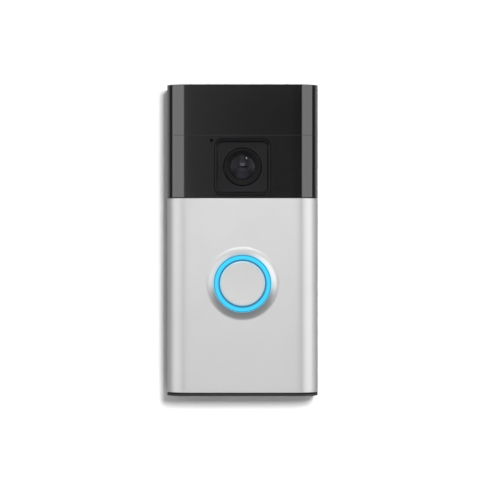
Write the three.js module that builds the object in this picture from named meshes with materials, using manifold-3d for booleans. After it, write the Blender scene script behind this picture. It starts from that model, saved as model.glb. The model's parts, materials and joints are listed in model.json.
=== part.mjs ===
// A battery video doorbell on its wall bracket, in millimetres, +Z up.
//
// The wall is the plane y = 0 and the front faces -Y, so a depth d measured from the wall is y = -d.
// The origin is the middle of the bracket's back face. From the wall forwards come the bracket, the rear
// housing with the cell, the main board, the chassis, and over it three covers: the sensor cover at the
// top, the camera cover below it and the satin faceplate with its raised rim round the button.

import * as THREE from "three";
import { mergeVertices } from "three/addons/utils/BufferGeometryUtils.js";
import Module from "manifold-3d";

const wasm = await Module();
wasm.setup();

// ---------------------------------------------------------------- driving dimensions

// Outside of the doorbell
const bodyWidth = 62;
const bodyHeight = 127.5;
const bodyDepth = 26.4; // wall to flat front face
const cornerRadius = 7.6; // the two long front edges
const edgeRadius = 0.6; // the corners of the rear rim seen from the front
const gap = 0.3; // between neighbouring pieces
const bite = 0.5; // how far shapes that are joined run into each other
const coverWall = 1.6;
const plateWall = 1.5;
const shellWall = 1.8;

// Where the front is divided, from the top edge down and from the bottom edge up
const sensorCoverHeight = 20.8;
const cameraCoverHeight = 25.4;
const footThickness = 0.9;
const seamGap = gap;

// Rear rim, recess and panel
const wallClearance = 0.8; // the rim stands this far off the wall
const rimBand = 2.1; // depth of rim that shows behind the covers
const panelDepth = 6.4; // wall to the rear panel's outer face
const panelWall = 2;
const recessFloorMargin = 4.75; // bottom edge of the body to the recess
const recessTopMargin = 3.15; // top edge of the body to the recess
const recessRadius = 3;

// Top hooks that the unit swings on
const hingeDepth = 3.8;
const hingeDrop = 4.35; // below the top edge
const barRadius = 0.9;
const barLength = 40;
const gussetWidth = 2;
const cradleWidth = 10;
const cradleOffset = 11;
const cradleLip = 1;
const cradleFloor = 1.2;
const cradleRise = 0.4; // above the bar's axis

// Wall bracket
const bracketWidth = 52;
const bracketThickness = 2.4;
const bracketRadius = 4;
const bracketBottomMargin = 6.25; // bottom edge of the body to the bracket
const wireOpening = { width: 28, height: 20, radius: 3, z: 20 };
const cableOpening = { width: 28, radius: 4, top: -10, bottomMargin: 11.5 };
const fixingHole = { radius: 2.2, slot: 2, headRadius: 4.1, headDepth: 0.9, x: 20, z: 44 };
const bracketRib = { width: 1.6, height: 2, margin: 1.2, endMargin: 8 };

// Locking screw at the bottom
const lockDepth = 4;
const lockShankRadius = 1.25;
const lockHeadRadius = 1.9;
const lockHeadHeight = 1.7;
const lockLength = 9;
const lockTravel = 1.4;
const lockCollar = { radius: 1.9, height: 0.6 };
const lockTab = { width: 12, height: 3, reach: 3.6 };
const lockInsert = { radius: 2.6, height: 2 };
const driveRadius = 0.75; // hexagonal drive recess in screw heads
const driveDepth = 0.8;

// Button and light ring, centred on the button's axis
const buttonDrop = 81.5; // top edge of the body down to the axis
const capRadius = 9.1;
const capWall = 1.4;
const capFront = 0.9; // the cap's face stands this far in front of the flat face
const capSkirt = 4.7;
const capEdge = 0.5;
const ringWidth = 2.15;
const ringSlot = 0.35; // clear width each side of the ring
const ringFront = 1.25;
const ringFlange = { width: 1, thickness: 1 };
const rimLand = 0.4; // the crest, outside the bore for the ring
const rimSlope = 2.45; // crest to foot
const rimRise = 1.6;
const rimInnerLip = 1.25;
const stemRadius = 2.2;
const buttonTravel = 0.6;
const buttonClip = { radius: 3.4, thickness: 0.3 };
const guideBoss = { width: 1.2, rise: 1.1 };

// Light board and main board, stacked behind the chassis plate
const lightBoard = { thickness: 0.8, margin: 1.8, ear: 2.8, earWidth: 5, hole: 3 };
const ledCount = 8;
const led = { length: 2, width: 1.6, height: 0.6 };
const mainBoard = { width: 41.6, thickness: 1.2, topMargin: 4.75, bottomMargin: 11.75 };
const boardSetback = 9.0; // chassis front face to the main board's front face
const stake = { radius: 1, hole: 1.3 };
const switchBody = { side: 6, height: 1.3, bore: 1.5, floor: 0.25 };
const switchPlunger = { radius: 1.2, clearance: 0.25 };

// Camera, centred on the lens
const cameraDrop = 33.75; // top edge of the body down to the lens axis
const cameraWindow = { width: 23.2, height: 23.4, radius: 3.2 };
const cameraWell = { side: 20, radius: 2 };
const bezelRecess = 1.2;
const bezelSlope = 1.3;
const bezelLength = 5.4;
const barrelRadius = 7.6;
const barrelStep = 1; // the tube behind is this much smaller than the head
const barrelWall = 1.3;
const barrelSetback = 0.5; // front face of the body to the barrel's rim
const barrelHead = 4;
const lensHolder = { side: 15, clearance: 1, wall: 1.2 };
const cameraBoard = { side: 18, thickness: 1 };
const imageSensor = { width: 7.4, height: 6, thickness: 0.8 };
const infraredLed = { radius: 2.4, height: 3.4, x: 16.4 };

// Motion sensors and the grooved lens in front of them
const sensorWindow = { width: 40, height: 11.6, drop: 11.9 };
const sensorCan = { radius: 4.4, height: 4.6, x: 10.5, eye: 2.6 };
const fresnel = { grooves: 18, thickness: 1.1, grooveDepth: 0.45 };

// Microphone
const micHole = { radius: 0.55, x: -12.7, drop: 22.95 };
const micBoot = { radius: 2, bore: 0.7 };
const micCan = { width: 4, height: 3, thickness: 1.1 };

// Cell and its leads
const cell = { width: 40, height: 48, z: -12, radius: 2.2, seam: 2, seamThickness: 0.8 };
const cellPad = { width: 30, height: 38, thickness: 0.5 };
const leadRadius = 0.65;
const plug = { width: 7, height: 5, thickness: 3.6, x: -15, drop: 0.5 };

// Charging socket, set-up button and wire terminals on the rear panel
const chargingRow = 19.75; // bottom edge of the body up to the socket, the set-up button and the plug
const socket = { width: 9, height: 3.3, wall: 0.35, setback: 0.5 };
const socketTongue = { width: 6.7, thickness: 0.7, setback: 1.2 };
const setup = { x: 13, radius: 2, flange: 2.8, flangeThickness: 0.8, proud: 0.5, travel: 0.35 };
const setupSwitch = { side: 4, height: 1.5 };
const terminal = { x: 8, z: 16.6, shank: 1.25, boreEnd: 0.6 };
const terminalHead = { radius: 3, height: 1.4 };
const terminalWasher = { side: 6.6, thickness: 0.7 };
const terminalPlate = { width: 9, height: 8, thickness: 0.8, legWidth: 1.6, legThickness: 0.8, legX: 3.2 };
const terminalBoss = { radius: 2.6, cap: 1, clearance: 1.2 };

// Housing screws and the seal
const housingScrew = { shank: 1, head: 1.9, headHeight: 1.3, sink: 0.2, inset: 6.6, grip: 4.4 };
const screwBoss = { rear: 3, front: 2.6 };
const screwRows = { topMargin: 9, middle: 2, bottomMargin: 14 };
const boardScrew = { shank: 0.8, head: 1.6, headHeight: 0.9, x: 18.4, post: 1.9, reach: 2.9 };
const boardScrewRows = { topMargin: 6.9, bottomMargin: 14.6 };
const seal = { width: 1.2, thickness: 0.8 };

// Loudspeaker over the slots in the foot
const speaker = { width: 28, depth: 11, height: 4.6, radius: 4, start: 9, wall: 1.2, cavity: 2 };
const speakerRoll = { setback: 0.3, height: 1.2, band: 1.9, hollow: 0.6 };
const speakerMesh = { thickness: 0.4 };
const slots = { count: 7, pitch: 3.4, width: 1.3, length: 4.2 };

// Antenna and radio shield
const antenna = { width: 20, thickness: 0.5, clearance: 1.2, x: -9 };
const shield = { width: 22, height: 12, thickness: 2.2, x: 4, z: 10 };

// Faceplate locating ribs
const locator = { height: 4, thickness: 1.1, length: 3, topMargin: 12, bottomMargin: 15 };

// Facets in a full turn
const fine = 44;
const medium = 20;
const coarse = 10;
const cornerFacets = 9;

// ---------------------------------------------------------------- places worked out from them

const top = bodyHeight / 2;
const bottom = -top;
const halfWidth = bodyWidth / 2;

const rimFront = wallClearance + rimBand;
const coverBack = rimFront + gap;
const chassisInset = coverWall + gap;
const chassisFront = bodyDepth - chassisInset;
const chassisBack = chassisFront - shellWall; // inner face of the chassis plate
const coreHalfWidth = halfWidth - chassisInset;
const coreTop = top - chassisInset;
const footTop = bottom + footThickness;
const coreBottom = footTop + gap;
const innerHalfWidth = coreHalfWidth - shellWall;
const innerTop = coreTop - shellWall;
const innerBottom = coreBottom + shellWall;
const panelInner = panelDepth + panelWall;

const recessTop = top - recessTopMargin;
const recessBottom = bottom + recessFloorMargin;
const hingeZ = top - hingeDrop;
const bracketTop = hingeZ + cradleRise;
const bracketBottom = bottom + bracketBottomMargin;

const sensorSeam = top - sensorCoverHeight;
const plateTop = sensorSeam - cameraCoverHeight - seamGap;
const buttonZ = top - buttonDrop;
const cameraZ = top - cameraDrop;
const rowZ = bottom + chargingRow;
const plugZ = rowZ - plug.drop;

const boardFront = chassisFront - boardSetback + gap;
const boardBack = boardFront - mainBoard.thickness;
const sealBack = boardBack - 2 * gap - 0.1;
const sealFront = sealBack + seal.thickness;
const housingFront = sealBack - gap;
const chassisSkirt = sealFront + gap;

const ringInner = capRadius + ringSlot;
const ringOuter = ringInner + ringWidth;
const rimLip = ringOuter + ringSlot;
const rimCrestRadius = rimLip + rimLand;
const rimFootRadius = rimCrestRadius + rimSlope;
const ringRear = chassisBack - gap - ringFlange.thickness;
const lightBoardFront = ringRear - 2 * gap - led.height + 0.2;
const lightBoardBack = lightBoardFront - lightBoard.thickness;
const lightBoardRadius = ringOuter + lightBoard.margin;
const earReach = lightBoardRadius + lightBoard.ear;
const stakeX = earReach - stake.hole - 1;
const clipFront = lightBoardBack - gap;
const stemEnd = clipFront - buttonClip.thickness - 0.1;

const screwX = halfWidth - housingScrew.inset;
const screwZs = [top - screwRows.topMargin, screwRows.middle, bottom + screwRows.bottomMargin];
const boardScrewZs = [top - boardScrewRows.topMargin, bottom + boardScrewRows.bottomMargin];
const lockTabBottom = bottom + recessFloorMargin + lockTravel + lockCollar.height + 2 * gap + 0.1;

// ---------------------------------------------------------------- shapes

// A closed geometry as a solid that can be joined and cut.
function solid(geometry) {
  const bare = geometry.index ? geometry.toNonIndexed() : geometry.clone();
  bare.deleteAttribute("normal");
  bare.deleteAttribute("uv");
  const merged = mergeVertices(bare, 1e-4);
  const corners = merged.index.array;
  const kept = [];
  for (let i = 0; i < corners.length; i += 3) {
    const [a, b, c] = corners.subarray(i, i + 3);
    if (a !== b && b !== c && a !== c) kept.push(a, b, c);
  }
  return new wasm.Manifold(
    new wasm.Mesh({
      numProp: 3,
      vertProperties: merged.attributes.position.array,
      triVerts: new Uint32Array(kept),
    }),
  );
}

// All of these geometries or solids as one solid.
function join(...pieces) {
  return pieces.map(asSolid).reduce((whole, piece) => whole.add(piece));
}

// The first of these with the others taken out of it.
function cut(body, ...tools) {
  return tools.map(asSolid).reduce((whole, tool) => whole.subtract(tool), asSolid(body));
}

function asSolid(piece) {
  return piece.isBufferGeometry ? solid(piece) : piece;
}

// A named mesh in one material from a geometry or a solid.
function part(name, material, piece) {
  const { vertProperties, triVerts } = asSolid(piece).getMesh();
  const geometry = new THREE.BufferGeometry();
  geometry.setAttribute("position", new THREE.BufferAttribute(vertProperties, 3));
  geometry.setIndex(new THREE.BufferAttribute(triVerts, 1));
  geometry.computeVertexNormals();
  const mesh = new THREE.Mesh(geometry, material);
  mesh.name = name;
  return mesh;
}

// A group of parts at (x, z) on the front.
function placed(x, z, ...parts) {
  const group = new THREE.Group();
  group.position.set(x, 0, z);
  group.add(...parts);
  return group;
}

// A box between two depths, centred on (x, z).
function block(width, height, back, front, x = 0, z = 0) {
  return new THREE.BoxGeometry(width, front - back, height).translate(x, -(back + front) / 2, z);
}

// A round bar between two depths, centred on (x, z).
function disc(radius, back, front, facets = medium, x = 0, z = 0) {
  const cylinder = new THREE.CylinderGeometry(radius, radius, front - back, facets);
  return cylinder.translate(x, -(back + front) / 2, z);
}

// A round bar from one height to another, at depth d.
function post(radius, low, high, x, d, facets = coarse) {
  return new THREE.CylinderGeometry(radius, radius, high - low, facets)
    .rotateX(Math.PI / 2)
    .translate(x, -d, (low + high) / 2);
}

// A round bar along X, at depth d and height z.
function bar(radius, length, x, d, z, facets = coarse) {
  const cylinder = new THREE.CylinderGeometry(radius, radius, length, facets);
  return cylinder.rotateZ(Math.PI / 2).translate(x, -d, z);
}

// A rectangle with round corners, centred on (x, z).
function roundedRectangle(width, height, radius, x = 0, z = 0) {
  const [w, h] = [width / 2, height / 2];
  return new THREE.Shape()
    .moveTo(x + w, z - h + radius)
    .lineTo(x + w, z + h - radius)
    .absarc(x + w - radius, z + h - radius, radius, 0, Math.PI / 2)
    .lineTo(x - w + radius, z + h)
    .absarc(x - w + radius, z + h - radius, radius, Math.PI / 2, Math.PI)
    .lineTo(x - w, z - h + radius)
    .absarc(x - w + radius, z - h + radius, radius, Math.PI, 1.5 * Math.PI)
    .lineTo(x + w - radius, z - h)
    .absarc(x + w - radius, z - h + radius, radius, 1.5 * Math.PI, 2 * Math.PI);
}

// A shape seen from the front, between two depths.
function slab(shape, back, front, facets = 4) {
  const settings = { depth: front - back, bevelEnabled: false, curveSegments: facets };
  return new THREE.ExtrudeGeometry(shape, settings).rotateX(Math.PI / 2).translate(0, -back, 0);
}

// A shape seen from above, between two heights.
function column(shape, low, high, facets = cornerFacets) {
  return new THREE.ExtrudeGeometry(shape, {
    depth: high - low,
    bevelEnabled: false,
    curveSegments: facets,
  }).translate(0, 0, low);
}

// The doorbell's outline seen from above, taken in by inset, from depth back to its front.
function outline(inset, back) {
  const w = halfWidth - inset;
  const front = bodyDepth - inset;
  const r = Math.max(cornerRadius - inset, 0.5);
  return new THREE.Shape()
    .moveTo(w, -back)
    .lineTo(-w, -back)
    .lineTo(-w, -(front - r))
    .absarc(-w + r, -(front - r), r, Math.PI, 1.5 * Math.PI)
    .lineTo(w - r, -front)
    .absarc(w - r, -(front - r), r, 1.5 * Math.PI, 2 * Math.PI);
}

// A body turned about the depth axis from a profile of [radius, depth] points, which either starts and
// ends on the axis or goes round a ring.
function turned(profile, facets = medium) {
  const points = profile.map(([r, d]) => new THREE.Vector2(r, d));
  const onAxis = points[0].x === 0 && points.at(-1).x === 0;
  if (THREE.ShapeUtils.area(points) < 0) points.reverse();
  if (!onAxis) points.push(points[0].clone());
  return new THREE.LatheGeometry(points, facets).rotateZ(Math.PI);
}

// The hexagonal recess of a screw head, between two depths.
function drive(back, front) {
  return disc(driveRadius, back, front, 6);
}

// ---------------------------------------------------------------- materials

function material(color, roughness, metalness = 0, more = {}) {
  return new THREE.MeshStandardMaterial({ color, roughness, metalness, ...more });
}

const satinNickel = material("#c9c9c8", 0.42, 0.85);
const glossBlack = material("#0d0e0f", 0.08);
const matteBlack = material("#17181a", 0.55);
const cameraBlack = material("#101112", 0.3);
const lightBlue = material("#4fd0ff", 0.3, 0, { emissive: "#2fc6ff" });
const lensGlass = material("#1a1626", 0.03, 0, { transparent: true, opacity: 0.5 });
const milkyPlastic = material("#d9dcdc", 0.5);
const steel = material("#a9abad", 0.35, 0.9);
const brass = material("#b7934a", 0.35, 0.9);
const boardGreen = material("#14503a", 0.5);
const rubber = material("#232426", 0.8);
const cellFoil = material("#8b8f94", 0.4, 0.6);
const foam = material("#2c2d30", 0.95);
const orangePlastic = material("#f07a1c", 0.45);
const redLead = material("#b3221d", 0.5);
const blackLead = material("#151515", 0.5);
const chipBlack = material("#1b1c1e", 0.45);
const plugWhite = material("#e8e6df", 0.5);

// ---------------------------------------------------------------- wall bracket

function wallBracket() {
  const height = bracketTop - bracketBottom;
  const middle = (bracketTop + bracketBottom) / 2;
  const plate = slab(
    roundedRectangle(bracketWidth, height, bracketRadius, 0, middle),
    0,
    bracketThickness,
  );
  const pieces = [plate];
  const holes = [wireWindow(), cableWindow()];
  for (const side of [-1, 1]) {
    pieces.push(cradle(side * cradleOffset), stiffener(side, height, middle));
    for (const end of [-1, 1]) holes.push(fixingSlot(side * fixingHole.x, end * fixingHole.z));
  }
  pieces.push(cut(lockTabBlock(), lockTabSlot()));
  holes.push(collarNotch());
  return part("wall_bracket", matteBlack, cut(join(...pieces), ...holes));
}

function wireWindow() {
  const { width, height, radius, z } = wireOpening;
  return slab(roundedRectangle(width, height, radius, 0, z), -1, bracketThickness + 1);
}

// The opening that leaves the charging socket and the set-up button free.
function cableWindow() {
  const low = bracketBottom + cableOpening.bottomMargin;
  const { width, radius, top: high } = cableOpening;
  const shape = roundedRectangle(width, high - low, radius, 0, (high + low) / 2);
  return slab(shape, -1, bracketThickness + 1);
}

// A slotted hole for a wall screw, with a flat seat for its head.
function fixingSlot(x, z) {
  const { radius, slot, headRadius, headDepth } = fixingHole;
  const shank = roundedRectangle(2 * radius + slot, 2 * radius, radius - 0.01, x, z);
  const head = roundedRectangle(2 * headRadius, 2 * headRadius, headRadius - 0.01, x, z);
  const seat = bracketThickness - headDepth;
  return join(slab(shank, -1, bracketThickness + 1), slab(head, seat, bracketThickness + 3, 5));
}

// The open hook that one end of the housing's hinge bar lies in.
function cradle(x) {
  const channel = barRadius + gap;
  const floor = hingeZ - channel - cradleFloor;
  const reach = hingeDepth + channel + cradleLip;
  const middle = (bracketTop + floor) / 2;
  const hook = block(cradleWidth, bracketTop - floor, bracketThickness - bite, reach, x, middle);
  const mouth = block(cradleWidth + 2, 2, hingeDepth - channel, hingeDepth + channel, x, hingeZ + 1);
  return cut(hook, bar(channel, cradleWidth + 2, x, hingeDepth, hingeZ), mouth);
}

function stiffener(side, height, middle) {
  const x = side * (bracketWidth / 2 - bracketRib.margin - bracketRib.width / 2);
  const length = height - 2 * bracketRib.endMargin;
  return block(bracketRib.width, length, 0.5, bracketThickness + bracketRib.height, x, middle);
}

// The notch in the plate's lower edge that the locking screw's collar moves in.
function collarNotch() {
  const side = 2 * (lockCollar.radius + 2 * gap);
  const below = bracketBottom - 2;
  return block(side, lockTabBottom - below, -1, bodyDepth, 0, (lockTabBottom + below) / 2);
}

// The tab at the foot that the locking screw's collar pulls up against, slotted towards the front so that
// the screw can swing out with the unit.
function lockTabBlock() {
  const { width, height, reach } = lockTab;
  return block(width, height, 0.5, bracketThickness + reach, 0, lockTabBottom + height / 2);
}

function lockTabSlot() {
  const back = lockDepth - lockShankRadius - gap;
  const middle = lockTabBottom + lockTab.height / 2;
  return block(2 * (lockShankRadius + gap), lockTab.height + 2, back, bodyDepth, 0, middle);
}

// ---------------------------------------------------------------- rear housing

function rearHousing() {
  const rim = slab(roundedRectangle(bodyWidth, bodyHeight, edgeRadius), wallClearance, rimFront, 3);
  const tubHeight = coreTop - footTop;
  const tubMiddle = (coreTop + footTop) / 2;
  const tub = block(2 * coreHalfWidth, tubHeight, wallClearance + bite, housingFront, 0, tubMiddle);
  const foot = column(outline(0, wallClearance), bottom, footTop);
  const cavity = block(
    2 * innerHalfWidth,
    innerTop - innerBottom,
    panelInner,
    bodyDepth,
    0,
    (innerTop + innerBottom) / 2,
  );
  const recess = slab(
    roundedRectangle(
      2 * innerHalfWidth,
      recessTop - recessBottom,
      recessRadius,
      0,
      (recessTop + recessBottom) / 2,
    ),
    -1,
    panelDepth,
  );
  const shell = cut(join(rim, tub, foot), cavity, recess);
  const additions = [hingeBar()];
  const holes = [
    socketWindow(),
    disc(setup.radius + gap, 0, panelInner + 1, coarse, setup.x, rowZ),
    lockBore(),
    ...grilleSlots(),
  ];
  for (const side of [-1, 1]) {
    for (const z of screwZs) {
      const x = side * screwX;
      additions.push(disc(screwBoss.rear, panelInner - bite, housingFront, coarse, x, z));
      holes.push(housingScrewBore(x, z));
    }
    const terminalX = side * terminal.x;
    additions.push(
      disc(terminalBoss.radius, panelInner - bite, terminalBossEnd, coarse, terminalX, terminal.z),
    );
    holes.push(terminalPocket(side));
  }
  return part("rear_housing", matteBlack, cut(join(shell, ...additions), ...holes));
}

// The round bar that hangs in the bracket's two hooks, held off the panel by three gussets.
function hingeBar() {
  const gussets = [-1, 0, 1].map((side) =>
    block(
      gussetWidth,
      2 * barRadius,
      hingeDepth,
      panelDepth + bite,
      (side * (barLength - gussetWidth)) / 2,
      hingeZ,
    ),
  );
  return join(bar(barRadius, barLength, 0, hingeDepth, hingeZ), ...gussets);
}

function socketWindow() {
  const [width, height] = [socket.width + 2 * gap, socket.height + 2 * gap];
  return slab(roundedRectangle(width, height, height / 2 - 0.01, 0, rowZ), 0, panelInner + 1);
}

function housingScrewBore(x, z) {
  const seat = housingScrewHead + housingScrew.headHeight;
  return join(
    disc(housingScrew.shank + gap, 0, bodyDepth, coarse, x, z),
    disc(housingScrew.head + gap, 0, seat + gap, coarse, x, z),
  );
}

const housingScrewHead = panelDepth + housingScrew.sink; // back of a screw head, sunk in the panel
const terminalBossEnd = boardBack - terminalBoss.clearance;
const terminalBoreEnd = terminalBossEnd - terminalBoss.cap;
const terminalShankEnd = terminalBoreEnd - terminal.boreEnd;

// The pocket for a terminal's brass plate, the slot for its leg and the bore for its screw.
function terminalPocket(side) {
  const { width, height, thickness, legWidth, legThickness, legX } = terminalPlate;
  const [x, z] = [side * terminal.x, terminal.z];
  const clear = 2 * gap;
  return join(
    block(width + clear, height + clear, 0, panelDepth + thickness + gap, x, z),
    block(legThickness + clear, legWidth + clear, panelDepth, bodyDepth, x + side * legX, z),
    disc(terminal.shank + gap, 0, terminalBoreEnd, coarse, x, z),
  );
}

// The stepped vertical hole for the locking screw and its insert.
function lockBore() {
  const head = post(lockHeadRadius + gap, bottom - 1, bottom + lockHeadHeight + 2 * gap, 0, lockDepth);
  const shank = post(lockShankRadius + gap, bottom, recessBottom + 1, 0, lockDepth);
  const seat = recessBottom - lockInsert.height + gap;
  const insert = post(lockInsert.radius, seat, recessBottom + 1, 0, lockDepth);
  return join(head, shank, insert);
}

// The row of sound slots through the foot, under the loudspeaker.
function grilleSlots() {
  const back = speaker.start + 0.8;
  const front = back + slots.length;
  return Array.from({ length: slots.count }, (_, i) => {
    const x = (i - (slots.count - 1) / 2) * slots.pitch;
    return block(slots.width, innerBottom - bottom + 2, back, front, x, (innerBottom + bottom) / 2);
  });
}

function housingSeal() {
  const width = 2 * (coreHalfWidth - gap);
  const [low, high] = [coreBottom + gap, coreTop - gap];
  const middle = (low + high) / 2;
  const outside = block(width, high - low, sealBack, sealFront, 0, middle);
  const inside = block(width - 2 * seal.width, high - low - 2 * seal.width, 0, bodyDepth, 0, middle);
  return part("housing_seal", rubber, cut(outside, inside));
}

// ---------------------------------------------------------------- chassis

function frontChassis() {
  const body = column(outline(chassisInset, chassisSkirt), coreBottom, coreTop);
  const cavity = block(
    2 * innerHalfWidth,
    innerTop - innerBottom,
    0,
    chassisBack,
    0,
    (innerTop + innerBottom) / 2,
  );
  const additions = [guideRing()];
  const holes = [
    disc(ringOuter + gap, 0, bodyDepth + 5, fine, 0, buttonZ),
    slab(roundedRectangle(cameraWell.side, cameraWell.side, cameraWell.radius, 0, cameraZ), 0, bodyDepth),
    disc(micBoot.radius + gap, 0, bodyDepth, coarse, micHole.x, top - micHole.drop),
    block(sensorWindow.width, sensorWindow.height, 0, bodyDepth, 0, top - sensorWindow.drop),
  ];
  for (const side of [-1, 1]) {
    for (const z of screwZs) {
      const x = side * screwX;
      additions.push(disc(screwBoss.front, chassisSkirt, chassisBack + bite, coarse, x, z));
      holes.push(disc(housingScrew.shank + gap, 0, chassisSkirt + housingScrew.grip, coarse, x, z));
    }
    for (const z of boardScrewZs) {
      const x = side * boardScrew.x;
      additions.push(disc(boardScrew.post, boardFront + gap, chassisBack + bite, coarse, x, z));
      holes.push(disc(boardScrew.shank + gap, 0, boardFront + boardScrew.reach + gap, coarse, x, z));
    }
    additions.push(
      disc(stake.radius, lightBoardBack - 0.4, chassisBack + bite, coarse, side * stakeX, buttonZ),
    );
    holes.push(disc(infraredLed.radius + gap, 0, bodyDepth, coarse, side * infraredLed.x, cameraZ));
    for (const z of locatorZs) holes.push(locatorSlot(side, z));
  }
  return part("front_chassis", matteBlack, cut(join(cut(body, cavity), ...additions), ...holes));
}

const locatorZs = [plateTop - locator.topMargin, footTop + locator.bottomMargin];

// The low collar round the light ring, inside the faceplate's raised rim.
function guideRing() {
  const radius = ringOuter + gap + guideBoss.width;
  return disc(radius, chassisBack + bite, chassisFront + guideBoss.rise, fine, 0, buttonZ);
}

// The groove that one of the faceplate's locating ribs slides in, open to the front.
function locatorSlot(side, z) {
  const floor = halfWidth - plateWall - locator.thickness - gap;
  return block(4, locator.height + 2 * gap, 0, bodyDepth, side * (floor + 2), z);
}

// ---------------------------------------------------------------- covers

// The faceplate: a channel over the chassis with a raised rim round the button and four locating ribs.
function faceplate() {
  const low = footTop + gap;
  const skin = cut(
    column(outline(0, coverBack), low, plateTop),
    column(outline(plateWall, 0), low - 1, plateTop + 1),
  );
  const ribs = [-1, 1].flatMap((side) => locatorZs.map((z) => locatorRib(side, z)));
  const ringed = join(skin, buttonRim().translate(0, 0, buttonZ));
  return part("faceplate", satinNickel, join(cut(ringed, rimBore().translate(0, 0, buttonZ)), ...ribs));
}

function locatorRib(side, z) {
  const x = side * (halfWidth - plateWall - locator.thickness / 2 + 0.25);
  const front = bodyDepth - cornerRadius - 0.5;
  return block(locator.thickness + 0.5, locator.height, front - locator.length, front, x, z);
}

// The rim's outside, a low cone with a rounded crest that runs out into the flat face.
function buttonRim() {
  const crest = bodyDepth + rimRise;
  const shoulder = 0.45;
  return turned(
    [
      [rimLip, bodyDepth - 0.6],
      [rimLip, crest - 0.25],
      [rimLip + 0.2, crest - 0.05],
      [rimCrestRadius, crest],
      [rimCrestRadius + shoulder, crest - 0.16],
      [rimFootRadius - shoulder, bodyDepth + 0.22],
      [rimFootRadius, bodyDepth + 0.03],
      [rimFootRadius + 0.4, bodyDepth - 0.02],
      [rimFootRadius + 0.4, bodyDepth - 0.6],
    ],
    fine,
  );
}

// What is taken out under the rim: a bore for the light ring that flares to clear the chassis collar.
function rimBore() {
  return turned(
    [
      [0, bodyDepth - plateWall - 1],
      [rimFootRadius - 0.5, bodyDepth - plateWall - 1],
      [rimFootRadius - 0.5, bodyDepth - plateWall],
      [rimCrestRadius, bodyDepth + rimRise - rimInnerLip],
      [rimLip, bodyDepth + rimRise - rimInnerLip],
      [rimLip, bodyDepth + rimRise + 1],
      [0, bodyDepth + rimRise + 1],
    ],
    fine,
  );
}

// The sensor cover: the top of the front, closed over the top edge.
function sensorCover() {
  const low = sensorSeam + seamGap / 2;
  const inside = column(outline(coverWall, 0), low - 1, top - coverWall);
  const shell = cut(column(outline(0, coverBack), low, top), inside);
  return part("sensor_cover", glossBlack, shell);
}

// The camera cover: a band with the camera's window and the microphone hole.
function cameraCover() {
  const low = plateTop + seamGap;
  const high = sensorSeam - seamGap / 2;
  const { width, height, radius } = cameraWindow;
  const shell = cut(
    column(outline(0, coverBack), low, high),
    column(outline(coverWall, 0), low - 1, high + 1),
    slab(roundedRectangle(width, height, radius, 0, cameraZ), chassisFront, bodyDepth + 1, 5),
    disc(micHole.radius, chassisFront, bodyDepth + 1, 12, micHole.x, top - micHole.drop),
  );
  return part("camera_cover", glossBlack, shell);
}

// ---------------------------------------------------------------- camera

const barrelFront = bodyDepth - barrelSetback;
const barrelTubeRadius = barrelRadius - barrelStep;
const barrelBore = barrelTubeRadius - barrelWall;
const lensRadius = barrelBore - gap;
const cameraBoardBack = panelInner + 2.5 * gap;
const cameraBoardFront = cameraBoardBack + cameraBoard.thickness;
const sensorFront = cameraBoardFront + gap + imageSensor.thickness;
const holderFront = sensorFront + lensHolder.clearance + lensHolder.wall;

// The square tray round the lens: sloping sides down to a flat floor, and a neck through the chassis.
function cameraBezel() {
  const [w, h] = [cameraWindow.width - 2 * gap, cameraWindow.height - 2 * gap];
  const coverInner = bodyDepth - coverWall;
  const neck = cameraWell.side - 2 * gap;
  const front = slab(roundedRectangle(w, h, cameraWindow.radius - gap), coverInner, bodyDepth, 5);
  const neckShape = roundedRectangle(neck, neck, cameraWell.radius);
  const rear = slab(neckShape, bodyDepth - bezelLength, coverInner + bite, 4);
  const floor = bodyDepth - bezelRecess;
  const step = bezelSlope / 3;
  const dish = [0, 1, 2].map((i) => {
    const inset = 0.35 + i * step;
    const size = [w - 2 * inset, h - 2 * inset];
    return slab(
      roundedRectangle(...size, cameraWindow.radius - inset),
      floor + bezelRecess * (0.62 - 0.31 * i),
      bodyDepth + 1,
      5,
    );
  });
  const bore = disc(barrelRadius + gap, 0, bodyDepth + 1, fine);
  return part("camera_bezel", cameraBlack, cut(join(front, rear), ...dish, bore));
}

function lensBarrel() {
  const bore = barrelBore;
  const body = turned(
    [
      [bore - 1.2, holderFront - 0.5],
      [barrelTubeRadius, holderFront - 0.5],
      [barrelTubeRadius, barrelFront - barrelHead],
      [barrelRadius, barrelFront - barrelHead + 0.6],
      [barrelRadius, barrelFront - 0.2],
      [barrelRadius - 0.25, barrelFront],
      [barrelRadius - 0.9, barrelFront],
      [bore + 0.35, barrelFront - 1.15],
      [bore, barrelFront - 1.3],
      [bore, barrelFront - 3.4],
      [bore - 1.2, barrelFront - 3.6],
    ],
    fine,
  );
  const { side, wall } = lensHolder;
  const inner = side - 2 * wall;
  const holder = cut(
    block(side, side, cameraBoardFront + gap, holderFront),
    block(inner, inner, 0, holderFront - wall),
    disc(bore - 1.2, 0, bodyDepth),
  );
  return part("lens_barrel", cameraBlack, join(body, holder));
}

function lensFront() {
  const r = lensRadius;
  const crown = barrelFront - 0.35;
  const rows = 4;
  const dome = [];
  for (let i = 0; i <= rows; i++) {
    const share = i / rows;
    dome.push([r * (1 - share), crown - 1.15 * (1 - share) ** 2]);
  }
  return part("lens_front", lensGlass, turned([[0, crown - 2.6], [r, crown - 2.6], ...dome]));
}

function lensRear() {
  const r = barrelBore - 1.2 - gap;
  const back = holderFront + 0.8;
  const profile = [[0, back], [r, back + 0.4], [r, back + 1.4], [0, back + 2]];
  return part("lens_rear", lensGlass, turned(profile, coarse));
}

function cameraBoardPart() {
  const { side } = cameraBoard;
  return part("camera_board", boardGreen, block(side, side, cameraBoardBack, cameraBoardFront));
}

function imageSensorPart() {
  const { width, height, thickness } = imageSensor;
  return part("image_sensor", chipBlack, block(width, height, sensorFront - thickness, sensorFront));
}

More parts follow.
